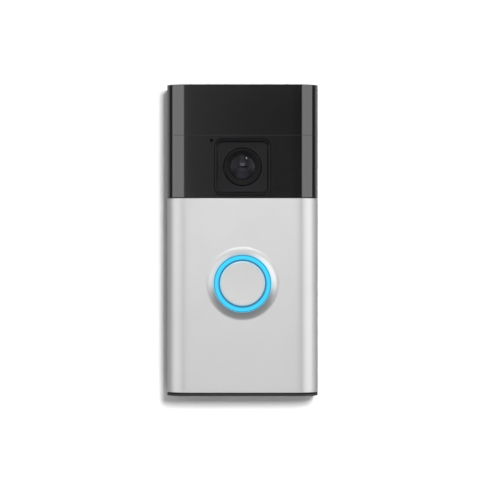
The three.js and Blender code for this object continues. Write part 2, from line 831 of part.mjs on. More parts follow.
function infraredLedPart(name) {
  const { radius, height } = infraredLed;
  const back = boardFront + gap;
  const shoulder = back + height;
  const dome = [
    [0, back],
    [radius, back],
    [radius, shoulder],
    [radius * 0.85, shoulder + 0.6],
    [radius * 0.5, shoulder + 1.1],
    [0, shoulder + 1.3],
  ];
  return part(name, milkyPlastic, turned(dome, coarse));
}

// ---------------------------------------------------------------- motion sensors and microphone

function motionSensor(name) {
  const { radius, height, eye } = sensorCan;
  const back = boardFront + gap;
  const can = join(disc(radius + 0.5, back, back + 0.5, coarse), disc(radius, back, back + height, coarse));
  return part(name, steel, cut(can, block(eye, eye + 0.6, back + height - 0.3, back + height + 1)));
}

// The lens sheet in the chassis window, with vertical grooves on its rear face.
function fresnelLens() {
  const width = sensorWindow.width - 2 * gap;
  const front = bodyDepth - coverWall - gap;
  const back = front - fresnel.thickness;
  const pitch = width / fresnel.grooves;
  const shape = new THREE.Shape().moveTo(-width / 2, -front).lineTo(width / 2, -front);
  for (let i = 0; i < fresnel.grooves; i++) {
    const x = width / 2 - i * pitch;
    shape.lineTo(x, -back).lineTo(x - pitch * 0.85, -(back + fresnel.grooveDepth));
  }
  shape.lineTo(-width / 2, -back);
  const half = sensorWindow.height / 2 - gap;
  return part("fresnel_lens", milkyPlastic, column(shape, -half, half));
}

function microphone() {
  const { width, height, thickness } = micCan;
  const back = boardFront + gap;
  const can = cut(block(width, height, back, back + thickness), disc(0.4, back + 0.6, back + 2, 12));
  return part("microphone", steel, can);
}

function microphoneBoot() {
  const back = boardFront + 2 * gap + micCan.thickness;
  const tube = cut(
    disc(micBoot.radius, back, bodyDepth - coverWall - gap, coarse),
    disc(micBoot.bore, 0, bodyDepth, 12),
  );
  return part("microphone_boot", rubber, tube);
}

// ---------------------------------------------------------------- button

function buttonCap() {
  const face = bodyDepth + capFront;
  const skirtEnd = face - capSkirt;
  const inner = face - capWall;
  const r = capRadius;
  return part(
    "button_cap",
    satinNickel,
    turned(
      [
        [0, stemEnd],
        [stemRadius, stemEnd],
        [stemRadius, inner],
        [r - capWall, inner],
        [r - capWall, skirtEnd],
        [r, skirtEnd],
        [r, face - capEdge],
        [r - 0.15, face - 0.2],
        [r - capEdge, face - 0.04],
        [r - 3 * capEdge, face],
        [0, face - 0.06],
      ],
      fine,
    ),
  );
}

// The snap ring on the end of the cap's stem, behind the light board, which keeps the cap in.
function buttonClipPart() {
  const back = clipFront - buttonClip.thickness;
  const ring = cut(disc(buttonClip.radius, back, clipFront), disc(stemRadius + gap + 0.05, 0, bodyDepth));
  return part("button_clip", steel, ring);
}

function lightRing() {
  const crest = bodyDepth + ringFront;
  const edge = 0.5;
  return part(
    "light_ring",
    lightBlue,
    turned(
      [
        [ringInner, ringRear],
        [ringOuter + ringFlange.width, ringRear],
        [ringOuter + ringFlange.width, ringRear + ringFlange.thickness],
        [ringOuter, ringRear + ringFlange.thickness],
        [ringOuter, crest - edge],
        [ringOuter - 0.15, crest - 0.2],
        [ringOuter - edge, crest],
        [ringInner + edge, crest],
        [ringInner + 0.15, crest - 0.2],
        [ringInner, crest - edge],
      ],
      fine,
    ),
  );
}

// The round board that carries the light ring's LEDs, hung on two stakes of the chassis.
function lightBoardPart() {
  const { earWidth, hole } = lightBoard;
  const board = join(
    disc(lightBoardRadius, lightBoardBack, lightBoardFront, medium),
    slab(roundedRectangle(2 * earReach, earWidth, 1.5), lightBoardBack, lightBoardFront),
    ...leds(),
  );
  const holes = [-1, 1].map((side) => disc(stake.hole, 0, bodyDepth, coarse, side * stakeX));
  return part("light_board", boardGreen, cut(board, disc(hole, 0, bodyDepth, coarse), ...holes));
}

function leds() {
  const r = ringInner + ringWidth / 2;
  return Array.from({ length: ledCount }, (_, i) => {
    const turn = ((i + 0.5) / ledCount) * 2 * Math.PI;
    return new THREE.BoxGeometry(led.length, led.height + 0.2, led.width)
      .translate(0, -(lightBoardFront + led.height / 2 - 0.1), r)
      .rotateY(turn);
  });
}

const switchBack = boardFront + gap;

function buttonSwitch() {
  const { side, height, bore, floor } = switchBody;
  const body = block(side, side, switchBack, switchBack + height);
  return part("button_switch", chipBlack, cut(body, disc(bore, switchBack + floor, bodyDepth, coarse)));
}

function switchPlungerPart() {
  const back = switchBack + switchBody.floor + buttonTravel + switchPlunger.clearance;
  return part("switch_plunger", plugWhite, disc(switchPlunger.radius, back, stemEnd - gap, coarse));
}

// ---------------------------------------------------------------- boards, radio and cell

function mainBoardPart() {
  const low = bottom + mainBoard.bottomMargin;
  const high = top - mainBoard.topMargin;
  const outside = block(mainBoard.width, high - low, boardBack, boardFront, 0, (high + low) / 2);
  const window = lensHolder.side + 2 * gap;
  const holes = [block(window, window, 0, bodyDepth, 0, cameraZ)];
  for (const side of [-1, 1])
    for (const z of boardScrewZs)
      holes.push(disc(boardScrew.shank + gap, 0, bodyDepth, coarse, side * boardScrew.x, z));
  return part("main_board", boardGreen, cut(outside, ...holes));
}

function boardScrewPart(name) {
  const { shank, head, headHeight, reach } = boardScrew;
  const under = boardBack - gap;
  const screw = join(
    disc(head, under - headHeight, under, coarse),
    disc(shank, under - 0.1, boardFront + reach, coarse),
  );
  return part(name, steel, cut(screw, disc(0.5, 0, under - headHeight + 0.5, 6)));
}

function radioShield() {
  const { width, height, thickness } = shield;
  const back = boardFront + gap;
  const wall = 0.4;
  const can = cut(
    block(width, height, back, back + thickness),
    block(width - 2 * wall, height - 2 * wall, back - 1, back + thickness - wall),
  );
  return part("radio_shield", steel, can);
}

function antennaPart() {
  const { width, thickness, clearance } = antenna;
  const high = innerTop - 1.2 * gap;
  const back = panelInner + 1;
  const strip = block(width, thickness, back, boardBack - clearance, 0, high - thickness / 2);
  const foot = block(2, 1.8, back, back + 0.5, width / 2 - 1, high - 1);
  return part("antenna", steel, join(strip, foot));
}

function cellPadPart() {
  const { width, height, thickness } = cellPad;
  return part("cell_pad", foam, block(width, height, panelInner + gap, panelInner + gap + thickness));
}

const cellBack = panelInner + 2 * gap + cellPad.thickness;
const cellFront = boardBack - gap;

// The flat lithium cell with the folded seam along its lower end.
function cellPart() {
  const { width, height, radius, seam, seamThickness } = cell;
  const body = slab(roundedRectangle(width, height, radius), cellBack, cellFront);
  const seamDepth = (cellBack + cellFront) / 2;
  const seamBack = seamDepth - seamThickness / 2;
  const seamZ = -(height + seam) / 2 + bite;
  const seamStrip = block(width - 4, seam, seamBack, seamBack + seamThickness, 0, seamZ);
  return part("battery_cell", cellFoil, join(body, seamStrip));
}

// One lead from the cell's lower end to the plug, in the plane between them.
function cellLead(name, wire, offset) {
  const depth = (cellBack + cellFront) / 2 + offset;
  const underSeam = cell.z - cell.height / 2 - cell.seam + bite - 2 * gap;
  const start = new THREE.Vector3(2 * offset - 8, -depth, underSeam);
  const end = new THREE.Vector3(plug.x + plug.width / 2 + gap, -depth, plugZ - offset);
  const curve = new THREE.CubicBezierCurve3(
    start,
    start.clone().add(new THREE.Vector3(0, 0, -4)),
    end.clone().add(new THREE.Vector3(5, 0, 0)),
    end,
  );
  const ring = new THREE.Shape().absarc(0, 0, leadRadius, 0, 2 * Math.PI);
  const settings = { extrudePath: curve, steps: 9, curveSegments: 4 };
  return part(name, wire, new THREE.ExtrudeGeometry(ring, settings));
}

function cellPlug() {
  const { width, height, thickness } = plug;
  const front = boardBack - gap;
  return part("battery_plug", plugWhite, block(width, height, front - thickness, front));
}

// ---------------------------------------------------------------- rear connections

const socketMouth = panelDepth + socket.setback;

function chargingSocket() {
  const { width, height, wall } = socket;
  const back = boardBack - gap;
  const outside = slab(roundedRectangle(width, height, height / 2 - 0.01), socketMouth, back, 5);
  const inside = slab(
    roundedRectangle(width - 2 * wall, height - 2 * wall, height / 2 - wall - 0.01),
    0,
    back - 1,
    5,
  );
  return part("charging_socket", steel, cut(outside, inside));
}

function socketTonguePart() {
  const { width, thickness, setback } = socketTongue;
  const front = boardBack - 2 * gap - 1;
  return part("socket_tongue", chipBlack, block(width, thickness, socketMouth + setback, front));
}

function setupButton() {
  const { radius, flange, flangeThickness, proud } = setup;
  const back = panelDepth - proud;
  const flangeBack = panelInner + gap;
  const stemFront = setupSwitchBack - gap - setup.travel;
  return part(
    "setup_button",
    orangePlastic,
    turned(
      [
        [0, back],
        [radius - 0.4, back],
        [radius, back + 0.4],
        [radius, flangeBack],
        [flange, flangeBack],
        [flange, flangeBack + flangeThickness],
        [1, flangeBack + flangeThickness],
        [1, stemFront],
        [0, stemFront],
      ],
      coarse,
    ),
  );
}

const setupSwitchBack = boardBack - gap - setupSwitch.height;

function setupSwitchPart() {
  const { side } = setupSwitch;
  return part("setup_switch", chipBlack, block(side, side, setupSwitchBack, boardBack - gap));
}

// The brass plate of one terminal, with its leg to the main board on the outer side.
function terminalPlatePart(name, side) {
  const { width, height, thickness, legWidth, legThickness, legX } = terminalPlate;
  const back = panelDepth;
  const plate = join(
    block(width, height, back, back + thickness),
    block(legThickness, legWidth, back + 0.1, boardBack - gap, side * legX, 0),
  );
  return part(name, brass, cut(plate, disc(terminal.shank + gap, 0, bodyDepth, coarse)));
}

const washerFront = panelDepth - gap;
const washerBack = washerFront - terminalWasher.thickness;

function terminalWasherPart(name) {
  const { side } = terminalWasher;
  return part(
    name,
    steel,
    cut(
      slab(roundedRectangle(side, side, 0.6), washerBack, washerFront, 2),
      disc(terminal.shank + gap, 0, bodyDepth, coarse),
    ),
  );
}

function terminalScrew(name) {
  const headFront = washerBack - gap;
  const headBack = headFront - terminalHead.height;
  const r = terminalHead.radius;
  const screw = turned(
    [
      [0, headBack],
      [r - 0.5, headBack],
      [r, headBack + 0.4],
      [r, headFront],
      [terminal.shank, headFront],
      [terminal.shank, terminalShankEnd],
      [0, terminalShankEnd],
    ],
    coarse,
  );
  const cross = join(
    block(3.6, 0.7, headBack - 1, headBack + 0.8),
    block(0.7, 3.6, headBack - 1, headBack + 0.8),
  );
  return part(name, steel, cut(screw, cross));
}

function housingScrewPart(name) {
  const { shank, head, headHeight, grip } = housingScrew;
  const back = housingScrewHead;
  const screw = join(
    disc(head, back, back + headHeight, coarse),
    disc(shank, back + 0.5, chassisSkirt + grip - gap, coarse),
  );
  return part(name, steel, cut(screw, drive(back - 1, back + driveDepth)));
}

// ---------------------------------------------------------------- locking screw

function lockScrew() {
  const low = bottom + 0.15;
  const underHead = low + lockHeadHeight;
  const screw = join(
    post(lockHeadRadius, low, underHead, 0, lockDepth),
    post(lockShankRadius, underHead - 0.2, low + lockLength, 0, lockDepth),
  );
  const recess = post(driveRadius, low - 1, low + driveDepth, 0, lockDepth, 6);
  return part("lock_screw", steel, cut(screw, recess));
}

// The collar fixed round the screw's shank, which is drawn up under the bracket's tab.
function lockCollarPart() {
  const low = recessBottom + lockTravel + gap;
  const ring = cut(
    post(lockCollar.radius, low, low + lockCollar.height, 0, lockDepth),
    post(lockShankRadius + gap, low - 1, low + lockCollar.height + 1, 0, lockDepth),
  );
  return part("lock_collar", steel, ring);
}

// The threaded brass insert in the housing's floor.
function lockInsertPart() {
  const low = recessBottom - lockInsert.height + 2 * gap;
  const high = recessBottom;
  const r = lockInsert.radius - gap;
  const ring = cut(
    post(r, low, high, 0, lockDepth),
    post(lockShankRadius + gap, low - 1, high + 1, 0, lockDepth),
  );
  return part("lock_insert", brass, ring);
}

// ---------------------------------------------------------------- loudspeaker

const speakerMiddle = speaker.start + speaker.depth / 2;
const meshLow = innerBottom + gap;
const speakerLow = meshLow + speakerMesh.thickness + gap;

// A rounded rectangle seen from above, over the sound slots.
function speakerOutline(inset) {
  const { width, depth, radius } = speaker;
  return roundedRectangle(width - 2 * inset, depth - 2 * inset, radius - inset, 0, -speakerMiddle);
}

function speakerFrame() {
  const { height, wall, cavity } = speaker;
  const frame = cut(
    column(speakerOutline(0), speakerLow, speakerLow + height, 4),
    column(speakerOutline(wall), speakerLow - 1, speakerLow + cavity, 4),
  );
  return part("speaker_frame", matteBlack, frame);
}

function speakerCone() {
  const { setback, height, band, hollow } = speakerRoll;
  const low = speakerLow + setback;
  const edge = speaker.wall + gap;
  const cone = cut(
    column(speakerOutline(edge), low, low + height, 4),
    column(speakerOutline(edge + band), low - 1, low + hollow, 4),
  );
  return part("speaker_cone", chipBlack, cone);
}

function speakerMeshPart() {
  return part("speaker_mesh", foam, column(speakerOutline(1), meshLow, meshLow + speakerMesh.thickness, 4));
}

// ---------------------------------------------------------------- assembly

const doorbell = new THREE.Group();

doorbell.add(
  wallBracket(),
  rearHousing(),
  housingSeal(),
  frontChassis(),
  faceplate(),
  sensorCover(),
  cameraCover(),
  mainBoardPart(),
  cellPlug().translateX(plug.x).translateZ(plugZ),
  cellLead("battery_lead_red", redLead, 0.9),
  cellLead("battery_lead_black", blackLead, -0.9),
  lockScrew(),
  lockCollarPart(),
  lockInsertPart(),
  speakerFrame(),
  speakerCone(),
  speakerMeshPart(),
);

doorbell.add(
  placed(
    0,
    cameraZ,
    cameraBezel(),
    lensBarrel(),
    lensFront(),
    lensRear(),
    cameraBoardPart(),
    imageSensorPart(),
  ),
  placed(
    0,
    buttonZ,
    buttonCap(),
    buttonClipPart(),
    lightRing(),
    lightBoardPart(),
    buttonSwitch(),
    switchPlungerPart(),
  ),
  placed(0, top - sensorWindow.drop, fresnelLens()),
  placed(micHole.x, top - micHole.drop, microphone(), microphoneBoot()),
  placed(shield.x, shield.z, radioShield()),
  placed(antenna.x, 0, antennaPart()),
  placed(0, cell.z, cellPadPart(), cellPart()),
  placed(0, rowZ, chargingSocket(), socketTonguePart()),
  placed(setup.x, rowZ, setupButton(), setupSwitchPart()),
);

for (const [side, hand] of [
  [-1, "left"],
  [1, "right"],
]) {
  doorbell.add(
    placed(side * infraredLed.x, cameraZ, infraredLedPart(`infrared_led_${hand}`)),
    placed(side * sensorCan.x, top - sensorWindow.drop, motionSensor(`motion_sensor_${hand}`)),
    placed(
      side * terminal.x,
      terminal.z,
      terminalPlatePart(`terminal_plate_${hand}`, side),
      terminalWasherPart(`terminal_washer_${hand}`),
      terminalScrew(`terminal_screw_${hand}`),
    ),
  );
  for (const [i, place] of ["top", "middle", "bottom"].entries())
    doorbell.add(placed(side * screwX, screwZs[i], housingScrewPart(`housing_screw_${place}_${hand}`)));
  for (const [i, place] of ["top", "bottom"].entries())
    doorbell.add(
      placed(side * boardScrew.x, boardScrewZs[i], boardScrewPart(`board_screw_${place}_${hand}`)),
    );
}

export default doorbell;
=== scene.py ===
"""A battery video doorbell on its wall bracket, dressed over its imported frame.

Every length in the classes below is in millimetres, unless the class says metres. A place is given as x,
depth and z, where depth is measured from the wall towards the front. It is turned to metres in the frame's
own axes when a mesh is made.
"""

from __future__ import annotations

import json
import logging
import math
from dataclasses import dataclass, field
from enum import Enum
from typing import Any, ClassVar, Iterable, Sequence

import bmesh
import bpy
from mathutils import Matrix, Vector


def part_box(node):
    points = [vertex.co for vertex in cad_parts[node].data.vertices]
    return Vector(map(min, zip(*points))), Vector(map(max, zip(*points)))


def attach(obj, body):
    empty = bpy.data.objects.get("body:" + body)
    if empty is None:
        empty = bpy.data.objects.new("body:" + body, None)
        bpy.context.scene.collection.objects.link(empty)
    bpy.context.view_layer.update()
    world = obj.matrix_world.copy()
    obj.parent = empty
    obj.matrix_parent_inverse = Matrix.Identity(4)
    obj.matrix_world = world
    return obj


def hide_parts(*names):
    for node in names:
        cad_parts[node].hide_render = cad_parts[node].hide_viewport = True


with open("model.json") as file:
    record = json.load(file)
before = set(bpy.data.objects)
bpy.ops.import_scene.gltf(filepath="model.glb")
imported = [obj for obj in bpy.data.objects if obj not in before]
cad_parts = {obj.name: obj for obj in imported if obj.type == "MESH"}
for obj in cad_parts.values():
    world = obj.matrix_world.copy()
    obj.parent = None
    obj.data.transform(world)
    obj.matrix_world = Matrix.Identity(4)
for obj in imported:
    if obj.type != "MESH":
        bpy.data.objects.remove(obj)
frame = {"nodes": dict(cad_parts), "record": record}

Point = tuple[float, float, float]
Flat = tuple[float, float]
Loop = list[Point]
Colour = tuple[float, float, float, float]
Tree = bpy.types.NodeTree
Node = bpy.types.Node
Socket = bpy.types.NodeSocket
Piece = bpy.types.Object

MM = 0.001
SHARP = math.radians(32)  # edges that turn by more stay sharp
log = logging.getLogger("doorbell")


# ---------------------------------------------------------------- places taken from the frame


@dataclass(frozen=True)
class Box:
    """The box of a frame node at rest, in millimetres."""

    low: Point
    high: Point

    @classmethod
    def of(cls, node: str) -> Box:
        """The box of a node of the frame.

        Args:
            node: The node's name.

        Returns:
            Its lowest and highest corner, as x, depth and z.
        """
        low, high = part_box(node)
        return cls(
            (low[0] / MM, -high[1] / MM, low[2] / MM),
            (high[0] / MM, -low[1] / MM, high[2] / MM),
        )

    @property
    def middle(self) -> Point:
        """The middle of the box."""
        return tuple((a + b) / 2 for a, b in zip(self.low, self.high))

    @property
    def centre(self) -> Flat:
        """The middle as seen from the front, as x and z."""
        return (self.middle[0], self.middle[2])

    @property
    def size(self) -> Point:
        """The three sides of the box."""
        return tuple(b - a for a, b in zip(self.low, self.high))


# ---------------------------------------------------------------- finishes


def linear(code: str) -> Colour:
    """A colour from its sRGB hex value.

    Args:
        code: Six hex digits after a hash sign.

    Returns:
        Linear red, green, blue and an alpha of one.
    """
    channels = (int(code[i : i + 2], 16) / 255 for i in (1, 3, 5))
    red, green, blue = (c / 12.92 if c <= 0.04045 else ((c + 0.055) / 1.055) ** 2.4 for c in channels)
    return (red, green, blue, 1.0)


def add(
    tree: Tree,
    kind: str,
    settings: dict[str, Any] | None = None,
    links: dict[Any, Any] | None = None,
) -> Node:
    """Adds a node to a tree.

    Args:
        tree: The node tree.
        kind: The node's type name.
        settings: Attributes of the node to set.
        links: Input name or number to an output socket to link, or a value to set.

    Returns:
        The node.
    """
    node = tree.nodes.new(kind)
    for name, value in (settings or {}).items():
        setattr(node, name, value)
    for name, value in (links or {}).items():
        if isinstance(value, Socket):
            tree.links.new(value, node.inputs[name])
        else:
            node.inputs[name].default_value = value
    return node


def maths(tree: Tree, operation: str, first: Any, second: Any = 0.0) -> Socket:
    """The result of one of Blender's sums on two sockets or numbers."""
    return add(tree, "ShaderNodeMath", {"operation": operation}, {0: first, 1: second}).outputs[0]


def eased(tree: Tree, value: Any, off: float, on: float) -> Socket:
    """A smooth step in a value.

    Args:
        tree: The node tree.
        value: The socket of the value.
        off: Where the step is nought.
        on: Where the step is one.

    Returns:
        The socket of the step.
    """
    links = {"Value": value, "From Min": off, "From Max": on}
    return add(tree, "ShaderNodeMapRange", {"interpolation_type": "SMOOTHSTEP"}, links).outputs["Result"]


def ramp(tree: Tree, value: Socket, low: float, high: float) -> Socket:
    """Spreads a pattern's value from nought to one between two numbers.

    Args:
        tree: The node tree.
        value: The pattern.
        low: The result where the pattern is nought.
        high: The result where the pattern is one.

    Returns:
        The socket of the result.
    """
    node = add(tree, "ShaderNodeMapRange", links={"Value": value, "To Min": low, "To Max": high})
    return node.outputs["Result"]


@dataclass(frozen=True)
class Finish:
    """One surface finish.

    The grain is a fine bump of the given size, the mottle a broad change of colour and gloss. Wear pales the
    edges, where the pointiness of the mesh lies between the two worn values.
    """

    name: str
    slot: str
    colour: str
    other: str
    roughness: float
    spread: float = 0.05
    metallic: float = 0.0
    ior: float = 1.5
    grain: float = 0.5
    relief: float = 0.01
    mottle: float = 14.0
    wear: float = 0.0
    coat: float = 0.0
    stretch: Point = (1.0, 1.0, 1.0)
    worn_from: ClassVar[float] = 0.52
    worn_to: ClassVar[float] = 0.62
    worn_colour: ClassVar[str] = "#8c8c8c"

    def build(self) -> bpy.types.Material:
        """The Blender material, made once.

        Returns:
            The material.
        """
        known = bpy.data.materials.get(self.name)
        if known:
            return known
        material = bpy.data.materials.new(self.name)
        material.use_nodes = True
        tree = material.node_tree
        tree.nodes.clear()
        shader = add(tree, "ShaderNodeBsdfPrincipled")
        shader.inputs["Metallic"].default_value = self.metallic
        if not self.metallic:
            shader.inputs["IOR"].default_value = self.ior
        shader.inputs["Coat Weight"].default_value = self.coat
        self.dress(tree, shader)
        output = add(tree, "ShaderNodeOutputMaterial")
        tree.links.new(shader.outputs["BSDF"], output.inputs["Surface"])
        return material

    def place(self, tree: Tree) -> Socket:
        """The point on the object, stretched for a directional pattern.

        Args:
            tree: The node tree.

        Returns:
            The socket of the point.
        """
        where = add(tree, "ShaderNodeTexCoord")
        links = {"Vector": where.outputs["Object"], "Scale": self.stretch}
        return add(tree, "ShaderNodeMapping", links=links).outputs["Vector"]

    def noise(self, tree: Tree, point: Socket, size: float, detail: float = 3.0) -> Socket:
        """A noise whose lumps have a real size.

        Args:
            tree: The node tree.
            point: The point on the object.
            size: The size of one lump.
            detail: The number of finer layers.

        Returns:
            The socket of the noise.
        """
        links = {"Vector": point, "Scale": 1 / (size * MM), "Detail": detail, "Roughness": 0.55}
        return add(tree, "ShaderNodeTexNoise", links=links).outputs["Fac"]

    def dress(self, tree: Tree, shader: Node) -> None:
        """Links the colour, gloss and grain to the shader.

        Args:
            tree: The node tree.
            shader: The principled shader.
        """
        point = self.place(tree)
        broad = self.noise(tree, point, self.mottle)
        fine = self.noise(tree, point, self.grain, 2.0)
        colour = self.tint(tree, point, broad)
        if self.wear:
            edge = add(tree, "ShaderNodeNewGeometry").outputs["Pointiness"]
            limits = {"Value": edge, "From Min": self.worn_from, "From Max": self.worn_to}
            worn = add(tree, "ShaderNodeMapRange", links=limits)
            lift = ramp(tree, worn.outputs["Result"], 0.0, self.wear)
            colour = self.mix(tree, {"Factor": lift, "A": colour, "B": linear(self.worn_colour)})
        tree.links.new(colour, shader.inputs["Base Color"])
        gloss = ramp(tree, broad, self.roughness - self.spread, self.roughness + self.spread)
        tree.links.new(gloss, shader.inputs["Roughness"])
        relief = {"Height": fine, "Distance": self.relief * MM, "Strength": 1.0}
        bump = add(tree, "ShaderNodeBump", links=relief)
        tree.links.new(bump.outputs["Normal"], shader.inputs["Normal"])

    def mix(self, tree: Tree, values: dict[str, Any]) -> Socket:
        """Mixes two colours.

        Args:
            tree: The node tree.
            values: The factor and the colours A and B, as sockets or values.

        Returns:
            The socket of the mixed colour.
        """
        node = add(tree, "ShaderNodeMix", {"data_type": "RGBA"})
        for number, key in ((0, "Factor"), (6, "A"), (7, "B")):
            value = values[key]
            if isinstance(value, Socket):
                tree.links.new(value, node.inputs[number])
            else:
                node.inputs[number].default_value = value
        return node.outputs[2]

    def tint(self, tree: Tree, point: Socket, broad: Socket) -> Socket:
        """The base colour, which drifts a little between the finish's two colours.

        Args:
            tree: The node tree.
            point: The point on the object.
            broad: The broad noise.

        Returns:
            The socket of the colour.
        """
        return self.mix(tree, {"Factor": broad, "A": linear(self.colour), "B": linear(self.other)})


@dataclass(frozen=True)
class Weave(Finish):
    """A woven mesh: two crossed sets of threads."""

    thread: float = 0.35

    def tint(self, tree: Tree, point: Socket, broad: Socket) -> Socket:
        """The colour of the threads, darker between them.

        Args:
            tree: The node tree.
            point: The point on the object.
            broad: The broad noise.

        Returns:
            The socket of the colour.
        """
        bands = 20  # in one unit of the wave texture
        links = {"Vector": point, "Scale": 1 / (bands * self.thread * MM) * math.tau}
        waves = [add(tree, "ShaderNodeTexWave", {"bands_direction": way}, links) for way in "XY"]
        height = maths(tree, "MAXIMUM", *(wave.outputs["Fac"] for wave in waves))
        return self.mix(tree, {"Factor": height, "A": linear(self.other), "B": linear(self.colour)})


@dataclass(frozen=True)
class Laminate(Finish):
    """A circuit board: solder mask with the copper tracks showing through as paler lines."""

    track: float = 1.2
    track_edge: Flat = (0.05, 0.08)

    def tint(self, tree: Tree, point: Socket, broad: Socket) -> Socket:
        """The mask, paler over the tracks.

        Args:
            tree: The node tree.
            point: The point on the object.
            broad: The broad noise.

        Returns:
            The socket of the colour.
        """
        links = {"Vector": point, "Scale": 1 / (self.track * 4 * MM)}
        cells = add(tree, "ShaderNodeTexVoronoi", {"feature": "DISTANCE_TO_EDGE"}, links).outputs["Distance"]
        limits = {"Value": cells, "From Min": self.track_edge[0], "From Max": self.track_edge[1]}
        line = add(tree, "ShaderNodeMapRange", links=limits).outputs["Result"]
        return self.mix(tree, {"Factor": line, "A": linear(self.other), "B": linear(self.colour)})


def off_ring(tree: Tree, radius: float) -> Socket:
    """How far the shaded point lies, seen from the front, from a circle round the light ring's middle.

    Args:
        tree: The node tree.
        radius: The circle's radius.

    Returns:
        The socket of the distance.
    """
    where = add(tree, "ShaderNodeTexCoord").outputs["Object"]
    middle = Box.of("light_ring").middle
    shift = (-middle[0] * MM, 0.0, -middle[2] * MM)
    links = {"Vector": where, "Location": shift, "Scale": (1.0, 0.0, 1.0)}
    flat = add(tree, "ShaderNodeMapping", links=links).outputs["Vector"]
    away = add(tree, "ShaderNodeVectorMath", {"operation": "LENGTH"}, {0: flat}).outputs["Value"]
    return maths(tree, "ABSOLUTE", maths(tree, "SUBTRACT", away, radius * MM))


@dataclass(frozen=True)
class GlowRing(Finish):
    """The lit light ring: brightest along one radius, near the middle, and a deeper blue at both edges."""

    core: str = "#3bcdfb"
    rim: str = "#2a7fa6"
    strength: float = 1.0
    radius: float = 10.7
    fade: Flat = (0.4, 1.1)

    def dress(self, tree: Tree, shader: Node) -> None:
        """Links the glow to the shader.

        Args:
            tree: The node tree.
            shader: The principled shader.
        """
        super().dress(tree, shader)
        edge = eased(tree, off_ring(tree, self.radius), self.fade[0] * MM, self.fade[1] * MM)
        glow = self.mix(tree, {"Factor": edge, "A": linear(self.core), "B": linear(self.rim)})
        tree.links.new(glow, shader.inputs["Emission Color"])
        shader.inputs["Emission Strength"].default_value = self.strength


@dataclass(frozen=True)
class Glass(Finish):
    """Clear glass."""

    def dress(self, tree: Tree, shader: Node) -> None:
        """Links the clear glass to the shader.

        Args:
            tree: The node tree.
            shader: The principled shader.
        """
        super().dress(tree, shader)
        shader.inputs["Transmission Weight"].default_value = 1.0


@dataclass(frozen=True)
class PaintedRingGlow(Finish):
    """Satin metal with the light ring's blue glow painted into its colour close to the ring: painted light
    spill.
    """

    painted_glow: str = "#a3cbdc"
    radius: float = 10.53
    near: float = 1.05
    far: float = 2.7

    def tint(self, tree: Tree, point: Socket, broad: Socket) -> Socket:
        """The metal's colour, with the ring's blue light painted on near the ring.

        Args:
            tree: The node tree.
            point: The point on the object.
            broad: The broad noise.

        Returns:
            The socket of the colour.
        """
        metal = super().tint(tree, point, broad)
        # painted light: the ring's blue glow is mixed into the metal's colour close to the ring
        share = eased(tree, off_ring(tree, self.radius), self.far * MM, self.near * MM)
        return self.mix(tree, {"Factor": share, "A": metal, "B": linear(self.painted_glow)})


# Aluminium alloy, bead-blasted and nickel plated: a soft wide highlight with the faintest grain, and the light
# ring's blue glow painted into its colour near the ring.
SATIN_NICKEL = PaintedRingGlow(
    "satin_nickel_plate", "satin_nickel", "#cccccc", "#c7c7c8", 0.38, 0.02, 1.0, grain=0.3, relief=0.004
)
# Polished polycarbonate tinted black: near-mirror gloss over a very dark body, with moulding ripple.
POLISHED_BLACK = Finish(
    "polished_black_polycarbonate", "gloss_black", "#070708", "#090909", 0.05, 0.01, ior=1.85, grain=3.5,
    relief=0.0004,
)
# Moulded ABS with a spark-eroded texture: a dull even black that pales along its edges.
MOULDED_BLACK = Finish(
    "moulded_black_abs", "matte_black", "#0b0c0d", "#101011", 0.5, 0.06, ior=1.34, grain=0.4, relief=0.02,
    wear=0.03,
)
# Polycarbonate moulded against polished steel: a darker satin black that keeps a soft highlight.
CAMERA_BLACK = Finish(
    "satin_black_polycarbonate", "camera_black", "#060607", "#09090a", 0.24, 0.04, ior=1.22, grain=0.8,
    relief=0.006,
)
# Aluminium turned and anodised dead black, as inside a lens tube: it only glints on its sharp edges.
LENS_BLACK = Finish(
    "black_anodised_aluminium", "camera_black", "#030303", "#050505", 0.34, 0.05, ior=1.22, grain=0.8,
    relief=0.004,
)
# Milky acrylic lit from behind by eight small lamps.
LIT_ACRYLIC = GlowRing(
    "lit_blue_acrylic", "light_blue", "#06202c", "#082431", 0.42, 0.03, ior=1.3, grain=1.0, relief=0.002
)
# Optical glass under an anti-reflection coating: mirrors little. Its faint purple tint on what is behind it is
# a painted stand-in for the coating's purple reflection.
LENS_GLASS = Glass(
    "coated_lens_glass", "lens_glass", "#a49cb4", "#9a92ab", 0.02, 0.005, ior=1.3, grain=2.0, relief=0.0002
)
# Milky polyethylene, moulded: lets heat through and light only dimly.
MILKY_POLYETHYLENE = Finish(
    "milky_polyethylene", "milky_plastic", "#d9dcdc", "#cfd3d4", 0.45, 0.05, ior=1.51, grain=0.6,
    relief=0.008,
)
# Zinc-plated steel: cool grey with a slightly cloudy plating.
ZINC_STEEL = Finish(
    "zinc_plated_steel", "steel", "#a9abad", "#94979b", 0.34, 0.08, 1.0, grain=0.35, relief=0.006,
    mottle=2.5,
)
# Turned brass: warm yellow with fine turning marks.
TURNED_BRASS = Finish(
    "turned_brass", "brass", "#c9a34f", "#b28c3e", 0.3, 0.07, 1.0, grain=0.25, relief=0.006, mottle=3.0
)
# Glass-fibre laminate under a green solder mask.
SOLDER_MASK = Laminate(
    "green_solder_mask", "board_green", "#124a36", "#2a7a58", 0.4, 0.06, ior=1.52, grain=0.5, relief=0.01
)
# Silicone rubber, moulded: dull with a dusty bloom.
SILICONE = Finish(
    "black_silicone_rubber", "black_rubber", "#0d0d0e", "#141415", 0.72, 0.08, ior=1.38, grain=0.6,
    relief=0.02,
)
# Laminated foil pouch of a flat cell: a soft crinkled silver.
POUCH_FOIL = Finish(
    "crinkled_pouch_foil", "cell_foil", "#8f9499", "#a2a7ac", 0.34, 0.08, 1.0, grain=5.0, relief=0.12,
    mottle=9.0,
)
# Woven polyester dust mesh over foam.
DUST_MESH = Weave(
    "woven_dust_mesh", "grey_foam", "#34363a", "#101113", 0.8, 0.05, ior=1.5, grain=0.35, relief=0.03
)
